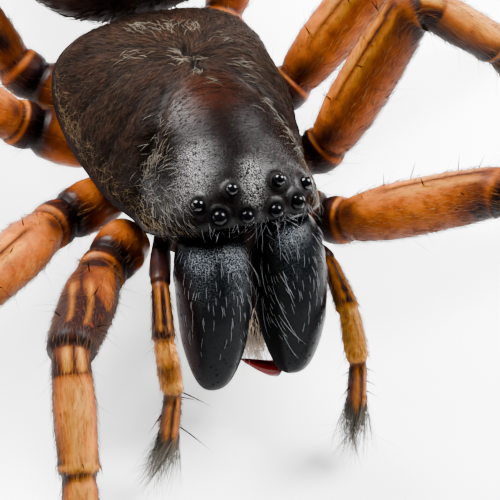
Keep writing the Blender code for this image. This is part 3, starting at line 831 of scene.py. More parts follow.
def leg_joints(number, side_name):
    side = 1 if side_name == "l" else -1
    mirror = np.array([side, 1, 1])
    femur, patella, tibia, foot_heading = LEG_POSE[number, side_name]
    lengths = SEGMENTS[number]
    joints = [HIP_ROOT[number] * mirror, HIP_END[number, side_name] * mirror]
    for length, (ahead, above) in zip(lengths, (femur, patella, tibia)):
        joints.append(joints[-1] + heading(side, ahead, above) * length)
    for length, height in zip(lengths[3:], (ANKLE_HEIGHT, TOE_HEIGHT)):
        slope = math.degrees(math.asin((height - joints[-1][2]) / length))
        joints.append(joints[-1] + heading(side, foot_heading, slope) * length)
    return joints


for number, lengths in SEGMENTS.items():
    print("leg", number, "is", round(sum(lengths), 2), "mm long from hip to toe")

# %% [markdown]
# The joints give straight bones. A running average of points along them rounds each bend, wide
# in the middle of the route and less near its ends, so the two ends stay in place. Rings are
# then set square to the route, with their first point on the leg's upper side, so that stripes
# along the back of a leg stay there on every leg.

# %% Routes and sweeps
STEP_ALONG = 0.026
TALL = 1.05
SOFTENING = 1.2


def smooth_route(joints, reach, step=STEP_ALONG):
    """Points close together through the joints, with rounded bends, and the station of each."""
    joints = np.array(joints, float)
    points, stations = [], []
    for index, (start, end) in enumerate(zip(joints, joints[1:])):
        part = np.linspace(0, 1, max(2, round(np.linalg.norm(end - start) / step)), endpoint=False)
        points.append(start + (end - start) * part[:, None])
        stations.append(index + part)
    points = np.concatenate(points + [joints[-1:]])
    stations = np.concatenate(stations + [[len(joints) - 1.0]])
    index = np.arange(len(points))
    span = np.minimum(round(reach / step), np.minimum(index, len(points) - 1 - index))
    sums = np.concatenate([np.zeros((1, 3)), np.cumsum(points, axis=0)])
    return (sums[index + span + 1] - sums[index - span]) / (2 * span + 1)[:, None], stations


def frames(route, twist=None):
    """Direction along a route, and the directions to its upper side and across it."""
    along = np.gradient(route, axis=0)
    along /= np.linalg.norm(along, axis=1, keepdims=True)
    above = np.array([0.0, 0.0, 1.0]) - along * along[:, 2:3]
    above /= np.linalg.norm(above, axis=1, keepdims=True)
    across = np.cross(along, above)
    if twist is not None:
        angle = np.radians(twist)[:, None]
        cos, sin = np.cos(angle), np.sin(angle)
        above, across = above * cos + across * sin, across * cos - above * sin
    return along, above, across


def swept(route, stations, radius_stations, sides, twist=None, tall=TALL):
    """Rings round a route, the station and angle of each point, and the way the route runs."""
    along, above, across = frames(route, twist)
    radius = read(stations, radius_stations)
    kernel = np.exp(-(np.arange(-3, 4) / SOFTENING) ** 2)
    soft = np.convolve(np.pad(radius, 3, mode="edge"), kernel / kernel.sum(), mode="valid")
    soft[-1] = 0.0
    around = np.linspace(0, 2 * np.pi, sides, endpoint=False)
    around = (around + np.pi) % (2 * np.pi) - np.pi
    upper = above[:, None] * (np.cos(around) * tall)[None, :, None]
    ring = upper + across[:, None] * np.sin(around)[None, :, None]
    grid = route[:, None] + ring * soft[:, None, None]
    grid[0] = route[0]
    station = np.broadcast_to(stations[:, None], grid.shape[:2])
    return grid, station, np.broadcast_to(around, grid.shape[:2]), along


def read(stations, pairs):
    """The values of a list of (station, value) pairs at any stations."""
    return np.interp(stations, *np.array(pairs).T)


print("points along a leg stand", STEP_ALONG, "mm apart")

# %% [markdown]
# ### Amber cuticle of the legs
# The cuticle of the legs is amber: clear and hard, with the flesh shining through. One brown
# would look painted, so a little light is let through under a satin surface. Dark red-brown bands
# sit at the joints and pale streaks run along the upper side, and the same dark lays painted shade
# on the flanks, the underside and some femora. They could be patterns in space, but they follow
# the leg, so the skin carries them as values on its points, and noise in the material breaks them
# up.

# %% Amber cuticle
# Streaks follow the unwrap: so many round the leg and along it, about 0.1 mm by 0.4 mm each
STREAKS_ROUND, STREAKS_ALONG = 14.0, 30.0


def amber_cuticle():
    """Clear brown cuticle over flesh: warm in its depth, satin, darker where it is thick and where shade
    is painted.
    """
    material, tree, shader, coords = new_material(
        "amber_cuticle", 0.36, IOR=1.54, Specular_IOR_Level=0.03, Subsurface_Weight=0.05,
        Subsurface_Scale=0.0001, Subsurface_Radius=(1.0, 0.45, 0.15))
    marks = {name: add_node(tree, MARK, {}, "Fac", attribute_name=name)
             for name in ("pale", "stripe", "dark", "ring", "dull")}
    unwrap = add_node(tree, "ShaderNodeUVMap", {}, uv_map="surface")
    lengthways = add_node(tree, "ShaderNodeMapping", {
        0: unwrap, "Scale": (STREAKS_ROUND, STREAKS_ALONG, 1.0)})
    streaks = add_node(tree, NOISE, {
        "Vector": lengthways, "Scale": 1.0, "Detail": 4.0, "Roughness": 0.6})
    # Patches of flesh under the skin, about 0.22 mm wide
    patches = add_node(tree, NOISE, {
        "Vector": coords, "Scale": per_mm(0.22), "Detail": 4.0, "Roughness": 0.55})
    clouds, broken, uneven = [
        add_node(tree, RANGE, {"Value": value, "From Min": start, "From Max": end})
        for value, start, end in ((patches, 0.3, 0.7), (streaks, 0.3, 0.62), (patches, 0.05, 0.4))]
    pale, shade = [
        add_node(tree, MATH, {0: mark, 1: pattern}, operation="MULTIPLY", use_clamp=True)
        for mark, pattern in ((marks["pale"], broken), (marks["dark"], uneven))]
    # 0f0404 follows the dark mark: the dark bands, and the painted shade
    base = paint_over(tree, "#561d02", [
        (clouds, "#874002"), (pale, "#9d6c29"), (marks["stripe"], "#7b500d"),
        (shade, "#0f0404"), (marks["ring"], "#030101")])
    rough = add_node(tree, RANGE, {"Value": marks["dull"], "To Min": 0.2, "To Max": 0.5})
    connect(tree, shader, {"Base Color": base, "Roughness": rough})
    # The real grain is finer than 0.03 mm, which is the finest that shows here
    grain = add_node(tree, NOISE, {
        "Vector": coords, "Scale": per_mm(0.03), "Detail": 2.0, "Roughness": 0.55})
    carve(tree, shader, [(streaks, 0.2, 0.008), (grain, 0.4, 0.004)])
    return material


AMBER = amber_cuticle()
print("made", AMBER.name)

# %% [markdown]
# ### Skins of the legs
# Four lists hold what changes along a leg: its radius, how dark it is, how pale its upper side
# is and how thick its hair stands. Small bumps add the line on the femur, the rings at the joints
# and the spots, as the photograph shows them on the legs nearest to it.

# %% Stations along a leg
LEG_RADIUS = [
    (0.0, 0.24), (0.12, 0.27), (0.38, 0.295), (0.6, 0.28), (0.69, 0.268), (0.72, 0.25),
    (0.75, 0.215), (0.79, 0.215), (0.82, 0.24), (0.92, 0.26), (1.0, 0.262), (1.045, 0.258),
    (1.06, 0.245), (1.07, 0.215), (1.085, 0.215), (1.13, 0.25), (1.3, 0.295), (1.5, 0.3),
    (1.75, 0.288), (1.93, 0.262), (1.965, 0.268), (1.985, 0.262), (2.0, 0.215), (2.03, 0.2),
    (2.1, 0.205), (2.5, 0.228), (2.85, 0.215), (2.95, 0.222), (2.98, 0.216), (3.0, 0.175),
    (3.03, 0.172), (3.08, 0.19), (3.35, 0.2), (3.75, 0.186), (3.95, 0.185), (3.98, 0.18),
    (4.0, 0.14), (4.03, 0.14), (4.1, 0.155), (4.5, 0.142), (4.94, 0.135), (4.985, 0.13),
    (5.0, 0.1), (5.04, 0.104), (5.4, 0.112), (5.8, 0.1), (5.93, 0.08), (5.98, 0.045), (6.0, 0.0),
]
LEG_DARK = [
    (0.0, 0.15), (0.35, 0.0), (0.5, 0.25), (0.62, 0.9), (0.7, 1.0), (0.95, 1.0), (1.03, 0.95),
    (1.05, 0.1), (1.075, 0.9), (1.1, 0.35), (1.2, 0.12), (1.5, 0.0), (1.72, 0.1), (1.86, 0.6),
    (1.94, 0.85), (1.97, 0.45), (2.0, 1.0), (2.03, 0.8), (2.16, 0.75), (2.2, 0.85), (2.23, 0.1),
    (2.6, 0.05), (2.85, 0.2), (2.9, 0.45), (2.95, 0.1), (3.0, 0.8), (3.06, 0.3), (3.2, 0.05),
    (3.85, 0.1), (3.97, 0.4), (4.0, 0.8), (4.1, 0.3), (4.6, 0.3), (5.0, 0.7), (5.3, 0.5),
    (6.0, 0.8),
]
LEG_PALE = [
    (0.0, 0.1), (0.3, 0.2), (0.6, 0.0), (1.03, 0.0), (1.05, 0.35), (1.08, 0.0), (1.25, 0.15),
    (1.6, 0.25), (1.9, 0.05), (2.0, 0.0), (2.2, 0.2), (2.3, 0.85), (2.8, 0.8), (2.93, 1.0),
    (3.0, 0.3), (3.2, 0.7), (3.8, 0.6), (4.0, 0.3), (4.5, 0.4), (5.0, 0.1), (6.0, 0.0),
]
LEG_COVER = [
    (0.0, 0.05), (0.3, 0.12), (0.6, 0.5), (1.0, 0.5), (1.1, 0.8), (1.9, 1.0), (3.0, 1.0),
    (6.0, 1.0),
]
LEG_SIDES = 36
# Degrees that the upper side is turned by, for the front legs, which the camera sees closest
LEG_TWIST = {(1, "r"): 32, (1, "l"): 8}
# How far painted shade darkens the femur, for the legs where the photograph shows it dark
OWN_SHADE = {(1, "r"): 1.3, (1, "l"): 0.1, (2, "r"): 0.4, (4, "l"): 0.9, (4, "r"): 0.6}
print("a leg is up to", 2 * max(radius for station, radius in LEG_RADIUS), "mm thick")

# %% [markdown]
# The lists are read ring by ring. What also changes round the leg, such as the pale stripes on
# both sides of the middle line, is a bump of the angle. Each mark becomes a value on the points.

# %% Bands and streaks of a leg
def leg_marks(station, around, along, own_shade):
    """Bands, streaks, painted shade and hair cover of a leg, from the place along it and round it."""
    flank = np.abs(around)
    femur = ramp(station, 1.25, 1.45) * (1 - ramp(station, 1.9, 1.96))
    knee = ramp(station, 2.02, 2.05) * (1 - ramp(station, 2.17, 2.2))
    front_patch = bump(around, 1.1, 0.5) * (1 - ramp(station, 1.55, 1.72))
    # Painted shade on the femur, as strong as own_shade says for this leg
    shaded = ramp(station, 1.08, 1.16) * (1 - ramp(station, 1.98, 2.03))
    shaded = own_shade * shaded * (0.68 + 0.27 * ramp(station, 1.45, 1.75))
    stripe = bump(flank, 0.3, 0.12) * femur * ramp(station, 1.42, 1.55) * 0.7
    stripe += bump(flank, 0.38, 0.19) * knee * 1.1
    stripe += bump(flank, 0.5, 0.22) * 0.5 * ramp(station, 2.25, 2.35) * (1 - ramp(station, 3.9, 4.0))
    stripe += bump(station, 2.945, 0.02) * 0.6
    line = bump(around, 0.0, 0.1) * (femur * 0.85 + knee)
    spot = bump(station, 1.17, 0.07) * bump(around, 0.5, 0.5) * 0.7
    # Painted shade on the flanks and underside of the leg, and a darker hip
    shade_on_flanks_and_dark_hip = 0.5 * ramp(flank, 0.5, 1.2) * ramp(station, 2.0, 2.2) * (1 - ramp(station, 4.6, 5.0))
    shade_on_flanks_and_dark_hip += 0.4 * ramp(flank, 1.0, 1.8) * ramp(station, 1.05, 1.2)
    shade_on_flanks_and_dark_hip += 0.3 * (1 - ramp(station, 0.5, 0.6))
    # The dark mark holds the dark bands and the painted shade together
    dark = np.maximum(read(station, LEG_DARK), shaded * (1 - 0.4 * front_patch))
    dark = np.clip(dark + line + spot + shade_on_flanks_and_dark_hip - stripe * 0.9, 0, 1)
    ring = 0.8 * bump(station, 2.005, 0.025) + 0.5 * bump(station, 3.005, 0.02)
    ring = np.maximum(bump(station, 0.77, 0.035), ring)
    pale = read(station, LEG_PALE) * (0.15 + 0.85 * bump(around, 0.0, 0.5))
    brush = ramp(station, 5.2, 5.6) * (1 - ramp(station, 5.96, 6.0)) * ramp(flank, 1.5, 2.3)
    return {"dark": dark, "ring": np.clip(ring, 0, 1), "stripe": np.clip(stripe, 0, 1),
            "pale": pale * (1 - np.clip(shaded, 0, 1)), "dull": ramp(station, 0.55, 0.75),
            "cover": read(station, LEG_COVER) * (0.6 + 0.4 * ramp(flank, 0.5, 2.2)),
            "lie": np.broadcast_to(along[:, None], station.shape + (3,)), "brush": brush}


def make_leg_skin(number, side_name):
    route, stations = smooth_route(leg_joints(number, side_name), BEND_REACH)
    twist = LEG_TWIST.get((number, side_name), 0) * (1 - ramp(stations, 1.2, 1.95))
    grid, station, around, along = swept(route, stations, LEG_RADIUS, LEG_SIDES, twist)
    side = 1 if side_name == "l" else -1
    marks = leg_marks(station, around * side, along, OWN_SHADE.get((number, side_name), 0.0))
    return build(f"skin_leg_{number}_{side_name}", [shell(grid, marks)], AMBER)


for number in SEGMENTS:
    for side_name in ("l", "r"):
        pieces[f"leg_{number}_{side_name}"] = make_leg_skin(number, side_name)

# %% [markdown]
# ## Palps
# The two feelers are made as small legs are, from the same sweep and the same amber. They have
# one segment fewer and are darker at the roots, where shade is painted under the head, and at the
# joints, with a light yellow-brown between. Each is held its own way, so its joints are given as
# places and not as angles.

# %% Stations along a palp
PALP_JOINTS = {
    "r": [
        (-0.7, 0.42, 1.2), (-0.76, 0.34, 1.7), (-1.02, -0.24, 1.96), (-1.13, -0.76, 1.65),
        (-1.11, -1.16, 1.23), (-1.18, -1.42, 0.5),
    ],
    "l": [
        (0.74, 0.4, 1.16), (0.96, 0.2, 1.4), (1.04, -0.1, 1.54), (1.05, -0.74, 1.44),
        (0.99, -1.26, 1.2), (1.0, -1.48, 0.46),
    ],
}
PALP_RADIUS = [
    (0.0, 0.1), (0.5, 0.105), (1.0, 0.11), (1.5, 0.115), (1.9, 0.11), (1.96, 0.112),
    (2.0, 0.088), (2.06, 0.095), (2.4, 0.105), (2.85, 0.125), (2.95, 0.128), (2.99, 0.11),
    (3.02, 0.1), (3.1, 0.115), (3.6, 0.128), (3.88, 0.12), (3.95, 0.112), (3.99, 0.088),
    (4.03, 0.088), (4.12, 0.1), (4.5, 0.108), (4.8, 0.1), (4.93, 0.075), (4.98, 0.04),
    (5.0, 0.0),
]
# On the first segment the dark is painted shade under the head. From the femur on it gives the dark
# femur, joints and bands.
PALP_DARK = [
    (0.0, 1.0), (1.0, 1.0), (1.8, 1.0), (1.98, 0.95), (2.03, 0.8), (2.15, 0.6), (2.4, 0.8),
    (2.75, 0.85), (2.9, 0.9), (3.0, 0.6), (3.05, 0.15), (3.35, 0.2), (3.5, 0.75), (3.65, 0.55),
    (3.85, 0.15), (3.95, 0.45), (4.0, 0.85), (4.15, 0.5), (4.5, 0.35), (5.0, 0.6),
]
PALP_PALE = [
    (0.0, 0.0), (2.0, 0.2), (2.2, 0.6), (2.8, 0.6), (3.05, 0.9), (3.4, 1.0), (3.9, 0.8),
    (4.1, 0.4), (5.0, 0.3),
]
PALP_BEND_REACH = BEND_REACH * 0.55
PALP_STEP = 0.016
PALP_SIDES = 32
# The way the brush of long hair at the tip of each palp points
BRUSH_LIE = {"r": (-0.45, -0.25, -0.5), "l": (-0.2, -0.4, -0.6)}
print("a palp is up to", 2 * max(radius for station, radius in PALP_RADIUS), "mm thick")

# %% [markdown]
# The bands of a palp are made as a leg's are. The left one is lighter in its middle, and each
# tip carries a brush of long hair, so there is one more value: the way that the brush points.

# %% Skins of the palps
def palp_marks(station, around, along, side_name):
    """Bands, spots and hair cover of a palp. The left one is lighter in its middle."""
    flank = np.abs(around)
    dark = read(station, PALP_DARK)
    own_pale = 0
    if side_name == "l":
        own_pale = 0.8 * ramp(station, 2.9, 3.1) * (1 - ramp(station, 3.9, 4.0))
        dark = dark * (1 - 0.75 * ramp(station, 2.05, 2.2) * (1 - ramp(station, 3.9, 4.0)))
    middle = ramp(station, 2.05, 2.15) * (1 - ramp(station, 2.85, 2.95))
    tip = ramp(station, 4.0, 4.1)
    line = bump(around, 0.0, 0.2) * (middle * 0.9 + bump(station, 3.25, 0.2) * 0.6 + tip * 0.6)
    spot = bump(station, 2.68, 0.06) * bump(around, 0.0, 0.4)
    spot += bump(station, 2.88, 0.05) * bump(around, 0.1, 0.6)
    stripe = bump(flank, 0.42, 0.15) * (middle * 0.6 + tip * 0.7 * (1 - ramp(station, 4.6, 4.9)))
    base_stripe = bump(flank, 0.5, 0.3) * bump(station, 3.18, 0.13)
    sides = ramp(flank, 0.7, 1.1) * (middle * 0.45 + tip * 0.5)
    tan_end = bump(station, 3.85, 0.12)
    pale = read(station, PALP_PALE) * 0.5 + base_stripe + 0.5 * tan_end + own_pale
    ring = 0.7 * bump(station, 2.0, 0.03) + 0.3 * bump(station, 3.995, 0.03)
    return {"dark": np.clip(dark + line + spot + sides - stripe - base_stripe, 0, 1),
            "ring": np.clip(ring, 0, 1), "stripe": np.clip(stripe * 0.6, 0, 1),
            "pale": np.clip(pale, 0, 1), "dull": np.full_like(dark, 0.6),
            "cover": ramp(station, 1.8, 2.2) * 0.9, "brush": ramp(station, 4.5, 4.75),
            "lie": np.broadcast_to(along[:, None], station.shape + (3,)),
            "brush_lie": np.broadcast_to(BRUSH_LIE[side_name], station.shape + (3,))}


for side_name in ("l", "r"):
    route, stations = smooth_route(PALP_JOINTS[side_name], PALP_BEND_REACH, PALP_STEP)
    grid, station, around, along = swept(route, stations, PALP_RADIUS, PALP_SIDES)
    skin = shell(grid, palp_marks(station, around, along, side_name))
    pieces[f"palp_{side_name}"] = build(f"skin_palp_{side_name}", [skin], AMBER)

# %% [markdown]
# ## Fangs
# A fang is a smooth curved horn, almost black at its root and dark red where light gets through
# the tip. A bent cone would do, but the sweep that made the legs also gives the long taper.

# %% Fangs
FANG_PATHS = {
    "l": [(0.36, -0.7, 0.6), (0.22, -0.72, 0.68), (0.08, -0.66, 0.73), (-0.06, -0.6, 0.78)],
    "r": [(-0.38, -0.68, 0.56), (-0.25, -0.56, 0.47), (-0.1, -0.46, 0.47), (0.03, -0.4, 0.53)],
}
FANG_RADIUS = [(0.0, 0.095), (0.6, 0.088), (1.5, 0.064), (2.4, 0.034), (2.9, 0.012), (3.0, 0.0)]
FANG_BEND_REACH, FANG_STEP, FANG_SIDES = 0.12, 0.012, 28


def fang_horn():
    """Solid dark horn: sharp highlights, black-brown with a red glow where it is thin."""
    material, tree, shader, coords = new_material(
        "red_horn", 0.16, IOR=1.56, Specular_IOR_Level=0.08, Subsurface_Weight=0.1,
        Subsurface_Scale=0.00005)
    root = add_node(tree, MARK, {}, "Fac", attribute_name="root")
    # Clouds in the horn 0.1 mm wide, and growth marks of 0.05 mm
    clouds = add_node(tree, NOISE, {
        "Vector": coords, "Scale": per_mm(0.1), "Detail": 3.0, "Roughness": 0.55})
    growth = add_node(tree, NOISE, {
        "Vector": coords, "Scale": per_mm(0.05), "Detail": 2.0, "Roughness": 0.55})
    base = paint_over(tree, "#5e0503", [(root, "#0b0202"), (clouds, "#380202")])
    connect(tree, shader, {"Base Color": base})
    carve(tree, shader, [(growth, 0.15, 0.003)])
    return material


FANG_HORN = fang_horn()
for side_name, joints in FANG_PATHS.items():
    route, stations = smooth_route(joints, FANG_BEND_REACH, FANG_STEP)
    grid, station, around, along = swept(route, stations, FANG_RADIUS, FANG_SIDES)
    horn = shell(grid, {"root": 1 - ramp(station, 0.1, 1.0)})
    pieces[f"fang_{side_name}"] = build(f"horn_fang_{side_name}", [horn], FANG_HORN)

# %% [markdown]
# ## Mouthparts
# Behind the jaws lie the lip, called labium, the rostrum above it and the two endites, soft lobes
# edged with cream hair. They hardly show, so the lip and rostrum are ovals and each endite is a
# blunt spindle, set by a few measures. What the eye gets is a matt brown under the fringe, painted
# near black as painted shade, as they lie in the shadow of the head and jaws.

# %% Mouthparts
OVALS = {
    "labium": ((0.0, 0.3, 0.98), (0.135, 0.235, 0.165)),
    "rostrum": ((0.0, 0.3, 1.8), (0.23, 0.19, 0.35)),
}
ENDITE_ROOT, ENDITE_TIP = (0.4, 0.52, 1.16), (0.29, -0.34, 0.66)
ENDITE_RADIUS = [(0.0, 0.155), (0.5, 0.14), (0.85, 0.16), (1.0, 0.15)]
ENDITE_BLUNT = (2.6, 2.6)


def soft_plate(name, first, second):
    """Thin cuticle that is hardly tanned: matt, brown in soft clouds, with a fine leathery grain."""
    material, tree, shader, coords = new_material(name, 0.6, IOR=1.5, Specular_IOR_Level=0.02)
    # Clouds 0.2 mm wide, folds of 0.15 mm and a grain drawn at 0.025 mm so that it shows
    clouds, folds, grain = [
        add_node(tree, NOISE, {
            "Vector": coords, "Scale": per_mm(size_mm), "Detail": detail, "Roughness": 0.55})
        for size_mm, detail in ((0.2, 4.0), (0.15, 3.0), (0.025, 2.0))]
    connect(tree, shader, {"Base Color": paint_over(tree, first, [(clouds, second)])})
    carve(tree, shader, [(folds, 0.3, 0.01), (grain, 0.4, 0.004)])
    return material


def make_endite(name, side):
    mirror = np.array([side, 1, 1])
    grid, along, around = spindle_grid(
        ENDITE_ROOT * mirror, ENDITE_TIP * mirror, ENDITE_RADIUS, ENDITE_RADIUS, ENDITE_BLUNT, 60, 48)
    inner = bump(around if side < 0 else np.abs(around - np.pi), 0.0, 0.9)
    cover = ramp(along, 0.6, 0.85) * (0.6 + 0.4 * inner)
    axis = np.subtract(ENDITE_TIP, ENDITE_ROOT) * mirror
    lie = np.broadcast_to(axis + np.array([-side * 0.2, -0.1, -0.3]), grid.shape)
    return build(f"skin_endite_{name}", [shell(grid, {"cover": cover, "lie": lie})], MOUTH_SKIN)


# The mouth skin is painted near black: painted shade under the head and jaws
MOUTH_SKIN = soft_plate("soft_brown_cuticle", "#060303", "#150a05")
BREAST_PLATE = soft_plate("brown_sclerotin", "#110502", "#1e0b04")

# %% [markdown]
# ## Breast plate
# The sternum is the plate between the hips, a brown shield with a notch for each leg. A flat
# plate would show its edge from below, so it is a squared oval, and a cosine along its sides
# gives the notches at the spacing of the legs.

# %% Breast plate
STERNUM_CENTRE, STERNUM_HALF = (0.0, 1.62, 1.22), (0.57, 0.99, 0.35)
STERNUM_SQUARENESS = 0.6
HIP_SPACING = 0.66
NOTCH_DEPTH = 0.035


def squared(value, power):
    return np.sign(value) * np.abs(value) ** power


def make_sternum():
    polar = np.linspace(0, np.pi, 90)[:, None]
    around = np.linspace(0, 2 * np.pi, 110, endpoint=False)[None, :]
    off = rounding(polar, 3.0)
    x = STERNUM_HALF[0] * off * squared(np.cos(around), STERNUM_SQUARENESS)
    y = -np.cos(polar) * STERNUM_HALF[1] + 0 * around
    z = STERNUM_HALF[2] * off * squared(np.sin(around), STERNUM_SQUARENESS)
    notch = NOTCH_DEPTH * np.maximum(np.cos(y * 2 * np.pi / HIP_SPACING), 0)
    inset = np.sign(x) * notch * ramp(np.abs(x), 0.3, 0.55)
    grid = np.stack([x - inset, y, z], axis=-1) + np.asarray(STERNUM_CENTRE)
    under = ramp(-np.sin(around) + 0 * polar, 0.1, 0.6)
    lie = np.broadcast_to(np.array([0.0, 1.0, 0.0]), grid.shape)
    return build("skin_sternum", [shell(grid, {"cover": under, "lie": lie})], BREAST_PLATE)


def lengthways_ball(half, centre, rings, sides):
    """A ball whose poles point forwards and back, stretched to its half sizes."""
    return ball((0, 0, 0), 1.0, rings, sides)[..., [0, 2, 1]] * half + centre


pieces["sternum"] = make_sternum()
pieces["endite_l"] = make_endite("l", 1)
pieces["endite_r"] = make_endite("r", -1)
for node, (centre, half) in OVALS.items():
    oval = shell(lengthways_ball(half, centre, 40, 40))
    pieces[node] = build(f"skin_{node}", [oval], MOUTH_SKIN)

# %% [markdown]
# ## Abdomen
# The abdomen is soft: a long egg of thin dark red-brown skin, silky with short hair, with a row
# of faint pale chevrons and four dimples where muscles hold to the skin. A ball could be
# stretched to it, but its back and belly swell at different places, so it has its own stations
# for both. The photograph only shows its front end, so the rest follows the species.

# %% Silky skin
def silky_skin():
    """Thin living skin: dark, soft red-brown, with a dull sheen and fine creases."""
    material, tree, shader, coords = new_material(
        "silky_abdomen_skin", 0.55, IOR=1.45, Specular_IOR_Level=0.07)
    heart, chevron = [
        add_node(tree, MARK, {}, "Fac", attribute_name=name) for name in ("heart", "chevron")]
    # Patches 0.5 mm wide, folds of 0.4 mm, and creases drawn at 0.03 mm so that they show
    patches, folds, creases = [
        add_node(tree, NOISE, {
            "Vector": coords, "Scale": per_mm(size_mm), "Detail": detail, "Roughness": 0.55})
        for size_mm, detail in ((0.5, 5.0), (0.4, 3.0), (0.03, 3.0))]
    faint = add_node(tree, MATH, {0: chevron, 1: 0.55}, operation="MULTIPLY", use_clamp=True)
    base = paint_over(tree, "#0e0403", [(patches, "#220c07"), (heart, "#080202"), (faint, "#432817")])
    connect(tree, shader, {"Base Color": base})
    carve(tree, shader, [(folds, 0.3, 0.02), (creases, 0.6, 0.006)])
    return material


SILKY = silky_skin()
print("made", SILKY.name)

# %% [markdown]
# The shape is rings again, with stations for the half width, the back, the belly and the height
# of the middle. Dimples are pressed in and fine wrinkles raised on the flanks, where the skin
# folds as the abdomen fills and empties.

# %% Shape of the abdomen
ABDOMEN_FRONT = 3.16
ABDOMEN_LENGTH = 5.0
ABDOMEN_HALF_WIDTH = [(0.0, 1.26), (0.3, 1.34), (0.55, 1.46), (0.8, 1.28), (1.0, 1.0)]
ABDOMEN_RISE = [(0.0, 0.95), (0.3, 1.2), (0.6, 1.3), (0.85, 1.05), (1.0, 0.8)]
ABDOMEN_DROP = [(0.0, 0.72), (0.15, 0.85), (0.4, 1.2), (0.6, 1.3), (0.85, 1.05), (1.0, 0.8)]
ABDOMEN_CENTRE = [(0.0, 2.42), (0.2, 2.32), (0.4, 2.15), (0.75, 1.95), (1.0, 1.75)]
ABDOMEN_BLUNT = (4.0, 2.2)
# The skin stands this far inside the solid, to leave room for the coat
COAT_DEPTH = 0.03
# Place to the side and place along of each pair of dimples
DIMPLES = [(0.34, 4.5), (0.38, 5.3)]
DIMPLE_DEPTH, DIMPLE_RADIUS = 0.05, 0.07
WRINKLE_HEIGHT = 0.002
CHEVRON_SPACING = 0.62


def abdomen_grid(polar, around):
    """Rings of the abdomen, wider, higher and deeper where its stations say so."""
    along = (1 - np.cos(polar)) / 2
    front, rear = ABDOMEN_BLUNT
    off = np.where(along < 0.5, rounding(polar, front), rounding(polar, rear))
    x = (profile(ABDOMEN_HALF_WIDTH)(along) - COAT_DEPTH) * off * np.cos(around)
    y = ABDOMEN_FRONT + COAT_DEPTH + (ABDOMEN_LENGTH - 2 * COAT_DEPTH) * along + 0 * around
    lift = np.sin(around)
    height = np.where(lift > 0, profile(ABDOMEN_RISE)(along), profile(ABDOMEN_DROP)(along))
    z = profile(ABDOMEN_CENTRE)(along) + (height - COAT_DEPTH) * off * lift
    return np.stack([x, y, z], axis=-1)


def make_abdomen():
    polar = np.linspace(0, np.pi, 200)[:, None]
    around = np.linspace(0, 2 * np.pi, 200, endpoint=False)[None, :]
    grid = abdomen_grid(polar, around)
    x, y, z = np.moveaxis(grid, -1, 0)
    side = np.abs(x)
    top = ramp(np.sin(around), 0.2, 0.8) + 0 * polar
    dents = sum(DIMPLE_DEPTH * np.exp(-((side - px) ** 2 + (y - py) ** 2) / DIMPLE_RADIUS ** 2)
                for px, py in DIMPLES)
    heart = bump(x, 0.0, 0.13) * (1 - ramp(y, 5.6, 6.1)) * top
    chevron = np.sin((y - 0.9 * side) * 2 * np.pi / CHEVRON_SPACING) * 2 - 1
    chevron = np.clip(chevron, 0, 1) * ramp(y, 5.4, 5.9) * (1 - ramp(side, 0.5, 0.8)) * top
    wrinkles = WRINKLE_HEIGHT * np.sin(y * 22 + 3 * side) * ramp(side, 0.3, 1.0)
    lie = np.stack([x * 0.1, np.ones_like(y), -0.1 * np.ones_like(y)], axis=-1)
    grid = grid - np.stack([0 * x, 0 * x, dents * top], axis=-1)
    grid += grid_normals(grid) * wrinkles[..., None]
    return build("skin_abdomen", [shell(grid, {
        "chevron": chevron, "heart": heart, "cover": np.ones_like(x), "lie": lie})], SILKY)


pieces["abdomen"] = make_abdomen()

# %% [markdown]
# ### Waist and spinnerets
# The pedicel is the thin waist between the two halves of the body. The spinnerets are six small
# jointed fingers at the rear that lay the silk. Both are swept tubes in the abdomen's skin, and
# the fingers stand on one low mound.

# %% Waist and spinnerets
PEDICEL_SPAN, PEDICEL_HEIGHT, PEDICEL_RADIUS = (2.72, 3.42), 1.42, 0.19
SPINNERET_BASE, SPINNERET_HALF = (0.0, 8.29, 1.72), (0.35, 0.16, 0.35)
# Place to the side and above, length and radius of each pair of fingers
SPINNERETS = [(0.17, 0.16, 0.42, 0.11), (0.2, -0.14, 0.5, 0.12), (0.07, 0.0, 0.3, 0.07)]
# Shares of a finger's length, and of its radius there. It narrows at its joint.
FINGER = [(0.0, 1.0), (0.55, 0.86), (0.6, 0.74), (0.66, 0.8), (0.94, 0.6), (1.0, 0.0)]
TUBE_RINGS = 40


def plain_marks(grid):
    none = np.zeros(grid.shape[:2])
    back = np.broadcast_to((0.0, 1.0, 0.0), grid.shape)
    return {"chevron": none, "heart": none, "cover": none + 0.7, "lie": back}


def tube(start, end, radius_stations, sides):
    """A straight tube of the abdomen's skin."""
    route = np.linspace(start, end, TUBE_RINGS)
    return swept(route, np.linspace(0, 1, TUBE_RINGS), radius_stations, sides)[0]


def make_pedicel():
    start, end = [(0.0, y, PEDICEL_HEIGHT) for y in PEDICEL_SPAN]
    radius = [(0.0, PEDICEL_RADIUS), (0.5, PEDICEL_RADIUS * 0.8), (0.95, PEDICEL_RADIUS), (1.0, 0.0)]
    grid = tube(start, end, radius, 32)
    return build("skin_pedicel", [shell(grid, plain_marks(grid))], SILKY)


def make_spinnerets():
    x, y, z = SPINNERET_BASE
    base = lengthways_ball(SPINNERET_HALF, SPINNERET_BASE, 36, 40)
    shells = [shell(base, plain_marks(base), (0.0, 0.4))]
    for number, (spacing, lift, length, radius) in enumerate(SPINNERETS):
        for side in (-1, 1):
            start = (x + side * spacing, y, z + lift)
            end = (x + side * spacing, y + length, z + lift)
            grid = tube(start, end, [(place, radius * share) for place, share in FINGER], 24)
            strip = (0.4 + number * 0.2 + (side > 0) * 0.1, 0.1)
            shells.append(shell(grid, plain_marks(grid), strip))
    return build("skin_spinnerets", shells, SILKY)


pieces["pedicel"] = make_pedicel()
pieces["spinnerets"] = make_spinnerets()

